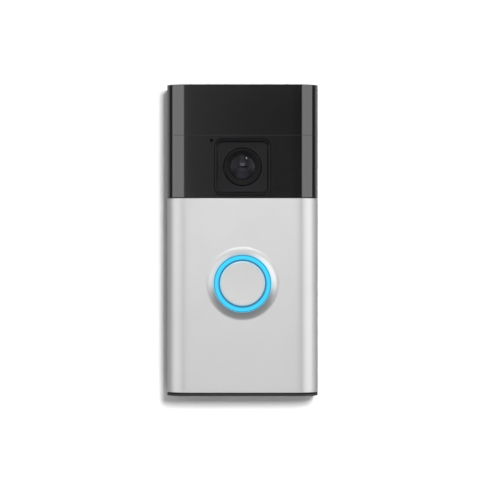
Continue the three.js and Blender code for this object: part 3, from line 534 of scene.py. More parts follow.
# Orange ABS of the set-up button.
ORANGE_ABS = Finish(
    "orange_abs", "orange_plastic", "#ee7a22", "#e46f1a", 0.38, 0.05, ior=1.54, grain=0.5, relief=0.01
)
# PVC wire sheath.
RED_PVC = Finish(
    "red_pvc_sheath", "red_sheath", "#a8211c", "#b82822", 0.42, 0.06, ior=1.53, grain=0.7, relief=0.01
)
BLACK_PVC = Finish(
    "black_pvc_sheath", "black_sheath", "#141415", "#1b1b1c", 0.42, 0.06, grain=0.7, relief=0.01
)
# Moulded epoxy of chips and small switches.
EPOXY = Finish(
    "black_epoxy", "chip_black", "#17181a", "#1f2022", 0.45, 0.06, ior=1.55, grain=0.2, relief=0.012
)
# Unfilled nylon: warm white, slightly waxy.
NYLON = Finish(
    "natural_nylon", "plug_white", "#e6e3da", "#dcd8cd", 0.4, 0.05, ior=1.53, grain=0.6, relief=0.01
)

FINISHES = (
    SATIN_NICKEL, POLISHED_BLACK, MOULDED_BLACK, CAMERA_BLACK, LIT_ACRYLIC, LENS_GLASS,
    MILKY_POLYETHYLENE, ZINC_STEEL, TURNED_BRASS, SOLDER_MASK, SILICONE, POUCH_FOIL,
    DUST_MESH, ORANGE_ABS, RED_PVC, BLACK_PVC, EPOXY, NYLON,
)  # one for each slot


# ---------------------------------------------------------------- meshes


def as_metres(point: Point) -> Vector:
    """A point from the wall, in the frame's own axes.

    Args:
        point: x, depth and z in millimetres.

    Returns:
        The point in metres.
    """
    x, depth, z = point
    return Vector((x, -depth, z)) * MM


def placed(name: str, data: bpy.types.ID) -> Piece:
    """A new object in the scene.

    Args:
        name: Its name.
        data: Its mesh, light or camera.

    Returns:
        The object.
    """
    made = bpy.data.objects.new(name, data)
    bpy.context.scene.collection.objects.link(made)
    return made


class Shape:
    """A closed mesh being built from loops of points."""

    def __init__(self) -> None:
        """Starts an empty mesh."""
        self.mesh = bmesh.new()

    def loft(self, loops: Sequence[Loop], ends: bool = True) -> Shape:
        """Joins loops of one length each to the next.

        Args:
            loops: The loops. One with a single point is a pole.
            ends: True to close the first and last loop, False to join them to each other.

        Returns:
            The shape.
        """
        rows = [[self.mesh.verts.new(as_metres(p)) for p in loop] for loop in loops]
        pairs = list(zip(rows, rows[1:]))
        if not ends:
            pairs.append((rows[-1], rows[0]))
        for low, high in pairs:
            self.bridge(low, high)
        if ends:
            for row in (rows[0], rows[-1]):
                if len(row) > 2:
                    self.mesh.faces.new(row)
        return self

    def bridge(self, low: list[bmesh.types.BMVert], high: list[bmesh.types.BMVert]) -> None:
        """Fills between two rows of vertices, either of which may be a pole.

        Args:
            low: The first row.
            high: The second row.
        """
        count = max(len(low), len(high))
        for i in range(count):
            j = (i + 1) % count
            corners = [low[i % len(low)], low[j % len(low)], high[j % len(high)], high[i % len(high)]]
            # a pole comes twice, and is kept once
            self.mesh.faces.new(list(dict.fromkeys(corners)))

    def lathe(self, profile: Sequence[Flat], centre: Flat, count: int = 96) -> Shape:
        """Turns a profile about the depth axis.

        Args:
            profile: Radius and depth of each point. One that starts and ends on the axis is closed there, any
                other goes round a ring.
            centre: x and z of the axis.
            count: The number of steps in a turn.

        Returns:
            The shape.
        """
        loops = []
        for radius, depth in profile:
            turn = count if radius > 1e-6 else 1
            loops.append([on_circle(centre, radius, depth, i / count) for i in range(turn)])
        return self.loft(loops, ends=profile[0][0] < 1e-6)

    def prism(self, outline: Sequence[Flat], low: float, high: float) -> Shape:
        """Raises an outline seen from above.

        Args:
            outline: x and depth of each point.
            low: The lower height.
            high: The upper height.

        Returns:
            The shape.
        """
        return self.loft([[(x, d, z) for x, d in outline] for z in (low, high)])

    def slab(self, outline: Sequence[Flat], back: float, front: float) -> Shape:
        """Thickens an outline seen from the front.

        Args:
            outline: x and z of each point.
            back: The depth of the rear face.
            front: The depth of the front face.

        Returns:
            The shape.
        """
        return self.loft([[(x, d, z) for x, z in outline] for d in (back, front)])

    def done(self, name: str) -> Piece:
        """Closes the mesh and puts it in the scene.

        Args:
            name: The object's name.

        Returns:
            The object.
        """
        bmesh.ops.remove_doubles(self.mesh, verts=self.mesh.verts, dist=1e-7)
        bmesh.ops.recalc_face_normals(self.mesh, faces=self.mesh.faces)
        data = bpy.data.meshes.new(name)
        self.mesh.to_mesh(data)
        self.mesh.free()
        return placed(name, data)


def on_circle(centre: Flat, radius: float, depth: float, turn: float) -> Point:
    """A point on a circle that faces the front.

    Args:
        centre: x and z of the circle's centre.
        radius: The radius.
        depth: The depth of the circle.
        turn: The share of a full turn, from the top.

    Returns:
        The point.
    """
    angle = turn * math.tau
    return (centre[0] + radius * math.sin(angle), depth, centre[1] + radius * math.cos(angle))


def on_arc(along: float, up: float, radius: float, degrees: float) -> Flat:
    """The point at an angle on a small arc of a section."""
    return (along + radius * math.cos(math.radians(degrees)), up + radius * math.sin(math.radians(degrees)))


def circle(centre: Flat, radius: float, count: int = 64, shift: float = 0.0) -> list[Flat]:
    """The outline of a circle seen from the front.

    Args:
        centre: x and z of the circle's centre.
        radius: The radius.
        count: The number of points.
        shift: How far the first point is turned on, as a share of one step.

    Returns:
        x and z of each point.
    """
    points = (on_circle(centre, radius, 0, (i + shift) / count) for i in range(count))
    return [(x, z) for x, _, z in points]


def rounded(width: float, height: float, radius: float, centre: Flat, count: int = 192) -> list[Flat]:
    """A rectangle with round corners seen from the front, sampled by equal angles about its centre.

    Args:
        width: Across x.
        height: Across z.
        radius: Of the corners.
        centre: x and z.
        count: The number of points.

    Returns:
        The outline.
    """
    half = (width / 2, height / 2)
    corner = (half[0] - radius, half[1] - radius)
    points = []
    for i in range(count):
        angle = (i + 0.5) / count * math.tau
        s, c = math.sin(angle), math.cos(angle)
        reach = min(half[0] / max(abs(s), 1e-9), half[1] / max(abs(c), 1e-9))
        if abs(s) * reach > corner[0] and abs(c) * reach > corner[1]:
            along = abs(s) * corner[0] + abs(c) * corner[1]
            reach = along + math.sqrt(max(along**2 - corner[0] ** 2 - corner[1] ** 2 + radius**2, 0.0))
        points.append((centre[0] + s * reach, centre[1] + c * reach))
    return points


def at_depth(outline: Iterable[Flat], depth: float) -> Loop:
    """An outline seen from the front, as points at a depth."""
    return [(x, depth, z) for x, z in outline]


def evaluated(made: Piece) -> Piece:
    """Applies an object's modifiers.

    Args:
        made: The object.

    Returns:
        The same object, with a plain mesh and no modifiers.
    """
    graph = bpy.context.evaluated_depsgraph_get()
    graph.update()
    plain = bpy.data.meshes.new_from_object(made.evaluated_get(graph))
    made.modifiers.clear()
    made.data = plain
    return made


def carved(body: Piece, *tools: Piece) -> Piece:
    """Takes tools out of a body.

    Args:
        body: The body.
        tools: What is taken out. They are removed from the scene.

    Returns:
        The body.
    """
    for tool in tools:
        cut = body.modifiers.new("cut", "BOOLEAN")
        cut.operation = "DIFFERENCE"
        cut.solver = "EXACT"
        cut.object = tool
    evaluated(body)
    for tool in tools:
        bpy.data.objects.remove(tool)
    return body


def bevelled(made: Piece, width: float, steps: int = 3) -> Piece:
    """Breaks an object's sharp edges.

    Args:
        made: The object.
        width: The width of the bevel.
        steps: Its facets.

    Returns:
        The object.
    """
    bevel = made.modifiers.new("edges", "BEVEL")
    bevel.width = width * MM
    bevel.segments = steps
    bevel.limit_method = "ANGLE"
    bevel.angle_limit = SHARP
    bevel.miter_outer = "MITER_ARC"
    return evaluated(made)


def smoothed(made: Piece) -> Piece:
    """Shades an object smoothly between its sharp edges, with flat faces left flat.

    Args:
        made: The object.

    Returns:
        The object.
    """
    made.data.shade_smooth()
    made.data.set_sharp_from_angle(angle=SHARP)
    weights = made.modifiers.new("weights", "WEIGHTED_NORMAL")
    weights.keep_sharp = True
    return evaluated(made)


def fitted(
    made: Piece, finish: Finish, body: str, nodes: Sequence[str] = ()
) -> Piece:
    """Dresses a finished piece and fixes it to its body.

    Args:
        made: The piece.
        finish: Its finish.
        body: The body that it rides on.
        nodes: The frame nodes that it stands for.

    Returns:
        The piece.
    """
    made.data.materials.clear()
    made.data.materials.append(finish.build())
    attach(made, body)
    if nodes:
        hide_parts(*nodes)
    log.info("%s rides on %s, %d faces", made.name, body, len(made.data.polygons))
    return made


def refined(node: str, name: str, finish: Finish, body: str, bevel: float) -> Piece:
    """A copy of a frame node with its flats merged and its edges broken.

    Args:
        node: The node, which the copy replaces.
        name: The copy's name.
        finish: Its finish.
        body: The body that it rides on.
        bevel: The width of the broken edges.

    Returns:
        The piece.
    """
    mesh = bmesh.new()
    mesh.from_mesh(frame["nodes"][node].data)
    bmesh.ops.remove_doubles(mesh, verts=mesh.verts, dist=2e-6)
    flat = math.radians(1.0)
    bmesh.ops.dissolve_limit(
        mesh, angle_limit=flat, verts=mesh.verts, edges=mesh.edges, use_dissolve_boundaries=False
    )
    bmesh.ops.recalc_face_normals(mesh, faces=mesh.faces)
    data = bpy.data.meshes.new(name)
    mesh.to_mesh(data)
    mesh.free()
    return fitted(smoothed(bevelled(placed(name, data), bevel, 2)), finish, body, [node])


# ---------------------------------------------------------------- repeated details


class Repeat:
    """A geometry tree that puts one small solid at every point of a mesh, and leaves a plain mesh."""

    def __init__(self, name: str, inputs: dict[str, float]) -> None:
        """Starts the tree.

        Args:
            name: The tree's name.
            inputs: Its sizes, in millimetres.
        """
        self.tree = bpy.data.node_groups.new(name, "GeometryNodeTree")
        self.sizes = inputs
        face = self.tree.interface
        face.new_socket("Geometry", in_out="INPUT", socket_type="NodeSocketGeometry")
        face.new_socket("Geometry", in_out="OUTPUT", socket_type="NodeSocketGeometry")
        face.new_socket("Material", in_out="INPUT", socket_type="NodeSocketMaterial")
        self.keys = {}
        for key in inputs:
            self.keys[key] = face.new_socket(key, in_out="INPUT", socket_type="NodeSocketFloat").identifier
        self.source = add(self.tree, "NodeGroupInput")

    def size(self, key: str) -> Socket:
        """The socket of one of the tree's sizes."""
        return self.source.outputs[key]

    def close(self, solid: Socket) -> None:
        """Instances a solid on the points and ends the tree.

        Args:
            solid: The socket of the small solid.
        """
        links = {"Points": self.source.outputs["Geometry"], "Instance": solid}
        spread = add(self.tree, "GeometryNodeInstanceOnPoints", links=links)
        real = add(self.tree, "GeometryNodeRealizeInstances", links={"Geometry": spread.outputs["Instances"]})
        links = {"Geometry": real.outputs["Geometry"], "Material": self.source.outputs["Material"]}
        dressed = add(self.tree, "GeometryNodeSetMaterial", links=links)
        add(self.tree, "NodeGroupOutput", links={"Geometry": dressed.outputs["Geometry"]})

    def at(self, name: str, points: Loop, finish: Finish) -> Piece:
        """Runs the tree over some points.

        Args:
            name: The piece's name.
            points: Where the solids go.
            finish: The finish of the piece.

        Returns:
            The piece, with a plain mesh.
        """
        data = bpy.data.meshes.new(name)
        data.from_pydata([as_metres(p) for p in points], [], [])
        made = placed(name, data)
        modifier = made.modifiers.new("repeat", "NODES")
        modifier.node_group = self.tree
        for key, value in self.sizes.items():
            modifier[self.keys[key]] = value * MM
        for item in self.tree.interface.items_tree:
            if item.name == "Material":
                modifier[item.identifier] = finish.build()
        return evaluated(made)


def facing(tree: Tree, solid: Socket, forward: Any = 0.0) -> Socket:
    """Turns a solid that stands on Z to point at the front and moves it forward.

    Args:
        tree: The geometry tree.
        solid: The socket of the solid.
        forward: The distance towards the front, as a socket or in metres.

    Returns:
        The socket of the placed solid.
    """
    ahead = add(tree, "ShaderNodeCombineXYZ", links={"Y": maths(tree, "MULTIPLY", forward, -1.0)})
    links = {"Geometry": solid, "Translation": ahead.outputs[0], "Rotation": (math.pi / 2, 0.0, 0.0)}
    return add(tree, "GeometryNodeTransform", links=links).outputs["Geometry"]


def united(tree: Tree, *solids: Socket) -> Socket:
    """The union of some solids.

    Args:
        tree: The geometry tree.
        solids: The sockets of the solids.

    Returns:
        The socket of the union.
    """
    whole = add(tree, "GeometryNodeMeshBoolean", {"operation": "UNION"})
    for solid in solids:
        tree.links.new(solid, whole.inputs["Mesh 2"])
    return whole.outputs["Mesh"]


def rod(made: Repeat, sides: int, radius: str, depth: str) -> Socket:
    """A rod about Z.

    Args:
        made: The tree.
        sides: The number of its sides.
        radius: The name of the tree's size that is its radius.
        depth: The name of the tree's size that is its depth.

    Returns:
        The socket of the rod.
    """
    links = {"Vertices": sides, "Radius": made.size(radius), "Depth": made.size(depth)}
    return add(made.tree, "GeometryNodeMeshCylinder", links=links).outputs["Mesh"]


def screw_tree() -> Repeat:
    """The tree of a socket-headed screw that points at the front.

    Returns:
        The tree, whose points are the backs of the heads.
    """
    sizes = {"Head Radius": 1.9, "Head Height": 1.3, "Shank Radius": 1.0, "Length": 12.2}
    sizes["Drive Radius"] = 0.75
    made = Repeat("screws", sizes)
    tree = made.tree
    solids = []
    for sides, radius, depth in ((40, "Head Radius", "Head Height"), (24, "Shank Radius", "Length")):
        half = maths(tree, "MULTIPLY", made.size(depth), 0.5)
        solids.append(facing(tree, rod(made, sides, radius, depth), half))
    drive = facing(tree, rod(made, 6, "Drive Radius", "Head Height"))
    links = {"Mesh 1": united(tree, *solids), "Mesh 2": drive}
    holed = add(tree, "GeometryNodeMeshBoolean", {"operation": "DIFFERENCE"}, links)
    made.close(holed.outputs["Mesh"])
    return made


def lamp_tree() -> Repeat:
    """The tree of a small lamp with a round window, for the light board.

    Returns:
        The tree, whose points are the middles of the lamps.
    """
    made = Repeat("lamps", {"Width": 1.9, "Thickness": 0.6, "Window": 0.6})
    tree = made.tree
    sides = {"X": made.size("Width"), "Y": made.size("Width"), "Z": made.size("Thickness")}
    across = add(tree, "ShaderNodeCombineXYZ", links=sides).outputs[0]
    body = add(tree, "GeometryNodeMeshCube", links={"Size": across}).outputs["Mesh"]
    links = {"Segments": 20, "Rings": 10, "Radius": made.size("Window")}
    dome = add(tree, "GeometryNodeMeshUVSphere", links=links).outputs["Mesh"]
    made.close(facing(tree, united(tree, body, dome)))
    return made


# ---------------------------------------------------------------- the front


class Top(Enum):
    """The upper end of a cover's channel."""

    OPEN = "open"
    CLOSED = "closed"


@dataclass
class Covers:
    """The three wrap-around covers: sensor cover, camera cover and faceplate.

    The two black covers share a wall and a fine edge. Each of them reaches by the seam into the gap between
    them. Past is how far a cutting tool passes what it cuts. The two pulls shape the curve of the rim: the
    foot's is how far inward, and the crest's how far outward and up to what share of the rise.
    """

    corner: float = 7.6
    lead: float = 3.8
    lead_angle: float = 5.0
    steps: int = 28
    wall: float = 1.6
    plate_wall: float = 1.5
    edge: float = 0.28
    fine_edge: float = 0.05
    seam: float = 0.12
    past: float = 1.0
    window: tuple[float, float, float] = (23.2, 23.4, 3.2)
    window_edge: float = 0.1
    window_depth: float = 3.0
    bore_depth: float = 4.0
    microphone: float = 0.65
    rim_foot: float = 15.2
    rim_lip: float = 11.66
    rim_crest: float = 11.8
    foot_pull: float = 1.5
    crest_pull: Flat = (0.95, 0.55)
    lip_depth: float = 1.25
    lip_ledge: float = 0.5
    foot_ledge: float = 1.0
    rim_steps: int = 14
    turn: int = 144
    half: float = field(init=False)
    front: float = field(init=False)
    rise: float = field(init=False)

    def __post_init__(self) -> None:
        """Reads the sizes that the frame holds."""
        cover = Box.of("sensor_cover")
        self.half = cover.high[0]
        self.front = cover.high[1]
        self.rise = Box.of("faceplate").high[1] - self.front

    def plan(self, inset: float, back: float) -> list[Flat]:
        """The section of a cover seen from above: the flat front eases into each rounded corner.

        Args:
            inset: How far it is taken in.
            back: The depth of its rear edge.

        Returns:
            x and depth of each point.
        """
        wide, front = self.half - inset, self.front - inset
        lean = math.radians(self.lead_angle)
        drop = self.lead * math.tan(lean) / 3
        radius = self.corner / (1 - math.sin(lean)) - inset
        start = wide - radius * (1 - math.sin(lean))
        right = [(start - self.lead * (1 - i / 10), front - drop * (i / 10) ** 3) for i in range(10)]
        for i in range(self.steps + 1):
            angle = lean + (math.pi / 2 - lean) * i / self.steps
            depth = front - drop - radius * (math.cos(lean) - math.cos(angle))
            right.append((wide - radius * (1 - math.sin(angle)), depth))
        left = [(-x, d) for x, d in reversed(right)]
        return [(wide, back), (-wide, back), *left, *right]

    def channel(self, node: str, wall: float, edge: float, top: Top, reach: Flat = (0.0, 0.0)) -> Piece:
        """The shell of one cover, with broken edges.

        Args:
            node: The frame node that it stands for.
            wall: The wall thickness.
            edge: The width of its broken edges.
            top: Whether a wall closes its top.
            reach: How far it passes the node's box at the bottom and at the top.

        Returns:
            The shell.
        """
        box = Box.of(node)
        low, high = box.low[2] - reach[0], box.high[2] + reach[1]
        outside = Shape().prism(self.plan(0, box.low[1]), low, high).done(node + "_shell")
        ceiling = high - wall if top is Top.CLOSED else high + self.past
        inside = Shape().prism(self.plan(wall, -self.past), low - self.past, ceiling).done("inside")
        return bevelled(carved(outside, inside), edge)

    def sensor_cover(self) -> Piece:
        """The cover over the motion sensors."""
        shell = self.channel("sensor_cover", self.wall, self.fine_edge, Top.CLOSED, (self.seam, 0.0))
        return fitted(smoothed(shell), POLISHED_BLACK, "unit", ["sensor_cover"])

    def camera_cover(self) -> Piece:
        """The cover with the camera's window and the microphone hole.

        Returns:
            The piece.
        """
        width, height, radius = self.window
        middle = Box.of("camera_bezel").centre
        back, front = self.front - self.window_depth, self.front + self.past
        grown = self.window_edge
        outline = rounded(width, height, radius, middle)
        flare = rounded(width + 2 * grown, height + 2 * grown, radius + grown, middle)
        shell = self.channel("camera_cover", self.wall, self.fine_edge, Top.OPEN, (0.0, self.seam))
        shell = carved(shell, Shape().slab(outline, back, front).done("window"))
        funnel = Shape().loft([at_depth(outline, self.front - grown), at_depth(flare, self.front + 0.001)])
        hole = Shape().slab(circle(Box.of("microphone_boot").centre, self.microphone, 28), back, front)
        shell = carved(shell, funnel.done("funnel"), hole.done("hole"))
        return fitted(smoothed(shell), POLISHED_BLACK, "unit", ["camera_cover"])

    def rim_profile(self) -> list[Flat]:
        """The raised rim round the button: a low cone with a soft foot and a rounded crest.

        Returns:
            Radius and depth of each point round the rim's section.
        """
        crest = self.front + self.rise
        across, up = self.crest_pull
        points = [(self.rim_foot, self.front), (self.rim_foot - self.foot_pull, self.front)]
        points += [(self.rim_crest + across, self.front + up * self.rise), (self.rim_crest, crest)]
        profile = []
        for i in range(self.rim_steps + 1):
            t = i / self.rim_steps
            shares = ((1 - t) ** 3, 3 * t * (1 - t) ** 2, 3 * t**2 * (1 - t), t**3)
            profile.append(tuple(sum(s * p[k] for s, p in zip(shares, points)) for k in (0, 1)))
        turn = self.rim_crest - self.rim_lip
        profile += [on_arc(self.rim_crest, crest - turn, turn, 90 + 15 * i) for i in range(1, 7)]
        under = crest - self.lip_depth
        inner = self.front - self.plate_wall
        profile += [(self.rim_lip, under), (self.rim_lip + self.lip_ledge, under)]
        return [*profile, (self.rim_foot - self.foot_ledge, inner), (self.rim_foot, inner)]

    def faceplate(self) -> Piece:
        """The faceplate, with its rim and flat front in one skin.

        Returns:
            The piece.
        """
        centre = Box.of("light_ring").centre
        plate = self.channel("faceplate", self.plate_wall, self.edge, Top.OPEN)
        bore = circle(centre, self.rim_foot, self.turn)
        ends = (self.front - self.bore_depth, self.front + self.bore_depth)
        plate = carved(plate, Shape().slab(bore, *ends).done("bore"))
        rim = Shape().lathe(self.rim_profile(), centre, self.turn).done("rim")
        skin = bmesh.new()
        for part in (plate, rim):
            skin.from_mesh(part.data)
        bpy.data.objects.remove(rim)
        hub = as_metres((centre[0], 0, centre[1]))
        joint = []
        for face in skin.faces:
            away = [abs(math.hypot(v.co.x - hub.x, v.co.z - hub.z) - self.rim_foot * MM) for v in face.verts]
            if max(away) < 2e-6:
                joint.append(face)
        bmesh.ops.delete(skin, geom=joint, context="FACES_ONLY")
        bmesh.ops.remove_doubles(skin, verts=skin.verts, dist=4e-6)
        bmesh.ops.recalc_face_normals(skin, faces=skin.faces)
        skin.to_mesh(plate.data)
        skin.free()
        plate.data.update()
        return fitted(smoothed(plate), SATIN_NICKEL, "faceplate", ["faceplate"])

    def build(self) -> None:
        """Makes the three covers."""
        self.sensor_cover()
        self.camera_cover()
        self.faceplate()


@dataclass
class Button:
    """The button cap and the light ring round it."""

    cap_radius: float = 9.5
    cap_edge: float = 0.5
    cap_wall: float = 1.4
    skirt: float = 4.7
    dish: float = 0.07
    stem: float = 2.2
    turn: int = 144
    ring_flange: float = 1.3
    ring_inner: float = 9.58
    ring_width: float = 2.0
    ring_crown: float = 0.6
    ring_fullness: float = 0.7
    lamps: int = 8
    lamp_sink: float = 0.25

    def cap(self) -> Piece:
        """The cap: a shallow dish with a rolled edge.

        Returns:
            The piece.
        """
        box = Box.of("button_cap")
        back, face = box.low[1], box.high[1]
        inner, under, foot = self.cap_radius - self.cap_wall, face - self.cap_wall, face - self.skirt
        profile = [(0, back), (self.stem, back), (self.stem, under), (inner, under), (inner, foot)]
        profile += [(self.cap_radius, foot)]
        middle = (self.cap_radius - self.cap_edge, face - self.cap_edge)
        profile += [on_arc(*middle, self.cap_edge, 90 * i / 8) for i in range(9)]
        flat = self.cap_radius - 2 * self.cap_edge
        profile += [(flat * (1 - i / 8), face - self.dish * (1 - (1 - i / 8) ** 2)) for i in range(9)]
        made = Shape().lathe(profile, box.centre, self.turn).done("button_cap_satin")
        return fitted(smoothed(made), SATIN_NICKEL, "button", ["button_cap"])

    def ring(self) -> Piece:
        """The light ring, crowned across its width.

        Returns:
            The piece.
        """
        box = Box.of("light_ring")
        rear, crest = box.low[1], box.high[1]
        outer = self.ring_inner + self.ring_width
        profile = [(self.ring_inner, rear), (outer + self.ring_flange, rear)]
        profile += [(outer + self.ring_flange, rear + 1), (outer, rear + 1)]
        middle = self.ring_inner + self.ring_width / 2
        for i in range(17):
            angle = i / 16 * math.pi
            across = middle + self.ring_width / 2 * math.cos(angle)
            profile.append((across, crest - self.ring_crown * (1 - math.sin(angle) ** self.ring_fullness)))
        made = Shape().lathe(profile, box.centre, self.turn).done("light_ring_lit")
        return fitted(smoothed(made), LIT_ACRYLIC, "unit", ["light_ring"])

    def light_board(self) -> Piece:
        """The eight lamps of the light board, set just above it.

        Returns:
            The piece.
        """
        board = Box.of("light_board")
        radius = self.ring_inner + self.ring_width / 2
        depth = board.high[1] - self.lamp_sink
        points = [on_circle(board.centre, radius, depth, (i + 0.5) / self.lamps) for i in range(self.lamps)]
        made = lamp_tree().at("light_board_lamps", points, MILKY_POLYETHYLENE)
        return fitted(made, MILKY_POLYETHYLENE, "unit")

    def build(self) -> None:
        """Makes the cap, the ring and the lamps."""
        self.cap()
        self.ring()
        self.light_board()


@dataclass(frozen=True)
class Lens:
    """One lens, with its crown so far behind the front lens's."""

    name: str
    node: str
    radius: float
    behind: float
    sag: float
    thick: float


@dataclass(frozen=True)
class Stop:
    """A black stop: the radius of its hole, how far it lies below the front lens, and its outer radius."""

    hole: float
    below: float
    outside: float


@dataclass
class Camera:
    """The square tray round the lens, the barrel and its glass.

    A roll is the rounded edge of a lip, as how far in and how far back each of its points lies. The barrel's
    step is how far behind its front the outside is narrow and then full, and its lip is the width of the
    front's flat and the drop inside it. A ridge is rounded by an inset and at a share of its fall. The seat is
    how far behind the front lens the throat ends, at its wall and at its hole. The rear face of a lens is a
    share of its radius and a rise at each point.
    """

    flange: float = 1.6
    flange_corner: float = 2.9
    least_corner: float = 0.8
    outer_roll: tuple[Flat, ...] = ((0.0, 0.12), (0.04, 0.03), (0.12, 0.0))
    inner_roll: Flat = (0.08, 0.04)
    lip: float = 0.16
    slope: float = 1.3
    slope_steps: int = 8
    slope_end: float = 0.002
    recess: float = 1.2
    neck: float = 19.4
    neck_corner: float = 2.0
    bore: float = 7.7
    bore_edge: float = 0.25
    points: int = 192
    barrel_length: float = 6.2
    barrel_step: Flat = (4.0, 3.4)
    barrel_ring: float = 7.6
    barrel_roll: tuple[Flat, ...] = ((0.0, 0.3), (0.08, 0.09), (0.3, 0.0))
    barrel_inner: float = 6.6
    barrel_lip: Flat = (0.2, 0.12)
    throat: float = 5.3
    throat_wall: float = 1.2
    ridges: int = 5
    ridge_fall: float = 1.15
    ridge_round: Flat = (0.04, 0.8)
    seat: Flat = (0.3, 0.5)
    lenses: tuple[Lens, ...] = (
        Lens("lens_front_coated", "lens_front", radius=5.0, behind=0.0, sag=1.15, thick=2.5),
        Lens("lens_inner_coated", "lens_rear", radius=3.4, behind=3.4, sag=0.7, thick=1.4),
    )
    rear_face: tuple[Flat, ...] = ((0.0, 0.0), (0.6, 0.02), (1.0, 0.1))
    stops: tuple[Stop, ...] = (Stop(4.1, 0.30, 5.25), Stop(2.7, 1.20, 4.05))
    stop_lip: float = 0.35
    turn: int = 128
    glass: Box = field(init=False)
    centre: Flat = field(init=False)

    def __post_init__(self) -> None:
        """Reads the place of the front lens."""
        self.glass = Box.of("lens_front")
        self.centre = self.glass.centre

    def tray(self) -> Piece:
        """The tray: a rounded lip, sloping sides, a flat floor and the neck behind.

        Returns:
            The piece.
        """
        box = Box.of("camera_bezel")
        width, _, height = box.size
        centre = box.centre
        front, rear = box.high[1], box.low[1]
        shoulder, floor = front - self.flange, front - self.recess

        def square(inset: float, depth: float) -> Loop:
            """One rounded square of the tray.

            Args:
                inset: How far it is taken in from the tray's edge.
                depth: Its depth.

            Returns:
                Its points.
            """
            corner = max(self.flange_corner - inset, self.least_corner)
            sides = (width - 2 * inset, height - 2 * inset)
            return at_depth(rounded(*sides, corner, centre, self.points), depth)

        def bore(radius: float, depth: float) -> Loop:
            """One circle of the bore."""
            return at_depth(circle(centre, radius, self.points, 0.5), depth)

        inset, top = self.lip + self.inner_roll[0], front - self.inner_roll[1]
        fall = top - floor - self.slope_end
        loops = [square(0, shoulder)]
        loops += [square(across, front - back) for across, back in self.outer_roll]
        loops += [square(self.lip, front), square(inset, top)]
        for i in range(1, self.slope_steps + 1):
            share = i / self.slope_steps
            sink = fall * (1 - math.cos(share * math.pi)) / 2
            loops.append(square(inset + self.slope * share, top - sink))
        edge = self.bore_edge
        loops += [bore(self.bore + edge, floor), bore(self.bore, floor - edge), bore(self.bore, rear)]
        neck = rounded(self.neck, self.neck, self.neck_corner, centre, self.points)
        loops += [at_depth(neck, rear), at_depth(neck, shoulder)]
        made = Shape().loft(loops, ends=False).done("camera_tray")
        return fitted(smoothed(made), CAMERA_BLACK, "unit", ["camera_bezel"])

    def barrel(self) -> Piece:
        """The lens barrel: a rounded bezel ring and a stepped, tapering throat.

        Returns:
            The piece.
        """
        box = Box.of("lens_barrel")
        front = box.high[1]
        back, behind, ahead = (front - drop for drop in (self.barrel_length, *self.barrel_step))
        profile = [(self.throat - self.throat_wall, back), (self.barrel_inner, back)]
        profile += [(self.barrel_inner, behind), (self.barrel_ring, ahead)]
        profile += [(self.barrel_ring - across, front - drop) for across, drop in self.barrel_roll]
        profile += [(self.barrel_inner + self.barrel_lip[0], front)]
        profile += [(self.barrel_inner, front - self.barrel_lip[1])]
        drop = self.ridge_fall / self.ridges
        inward = (self.barrel_inner - self.throat) / self.ridges
        for i in range(self.ridges):
            radius, depth = self.barrel_inner - inward * i, front - self.barrel_lip[1] - drop * i
            profile.append((radius - self.ridge_round[0], depth - drop * self.ridge_round[1]))
            profile.append((radius - inward, depth - drop))
        profile += [(self.throat, self.glass.low[1] - self.seat[0])]
        profile += [(self.throat - self.throat_wall, self.glass.low[1] - self.seat[1])]
        made = Shape().lathe(profile, box.centre, self.turn).done("lens_barrel_turned")
        return fitted(smoothed(made), LENS_BLACK, "unit", ["lens_barrel"])

    def lens(self, lens: Lens) -> None:
        """Makes one lens: a dome in front and a flatter rear face.

        Args:
            lens: The lens.
        """
        crown = self.glass.high[1] - lens.behind
        back = crown - lens.thick
        profile = [(lens.radius * share, back + rise) for share, rise in self.rear_face]
        profile += [(lens.radius * (1 - i / 12), crown - lens.sag * (1 - i / 12) ** 2) for i in range(13)]
        made = Shape().lathe(profile, self.centre, self.turn).done(lens.name)
        fitted(smoothed(made), LENS_GLASS, "unit", [lens.node])

    def stop(self, number: int, stop: Stop) -> None:
        """Makes one black stop, a thin ring with a rounded edge to its hole.

        Args:
            number: Its number, from the front.
            stop: The stop.
        """
        lip = self.stop_lip
        depth = self.glass.low[1] - stop.below
        profile = [on_arc(stop.hole + lip, depth - lip, lip, degrees) for degrees in (180, 150, 120, 90)]
        profile += [(stop.outside, depth), (stop.outside, depth - lip), (stop.hole, depth - lip)]
        made = Shape().lathe(profile, self.centre, self.turn).done(f"lens_stop_{number}")
        fitted(smoothed(made), LENS_BLACK, "unit")

    def build(self) -> None:
        """Makes the tray, the barrel, the stops and the glass."""
        self.tray()
        self.barrel()
        for number, stop in enumerate(self.stops, 1):
            self.stop(number, stop)
        for lens in self.lenses:
            self.lens(lens)


# ---------------------------------------------------------------- the back


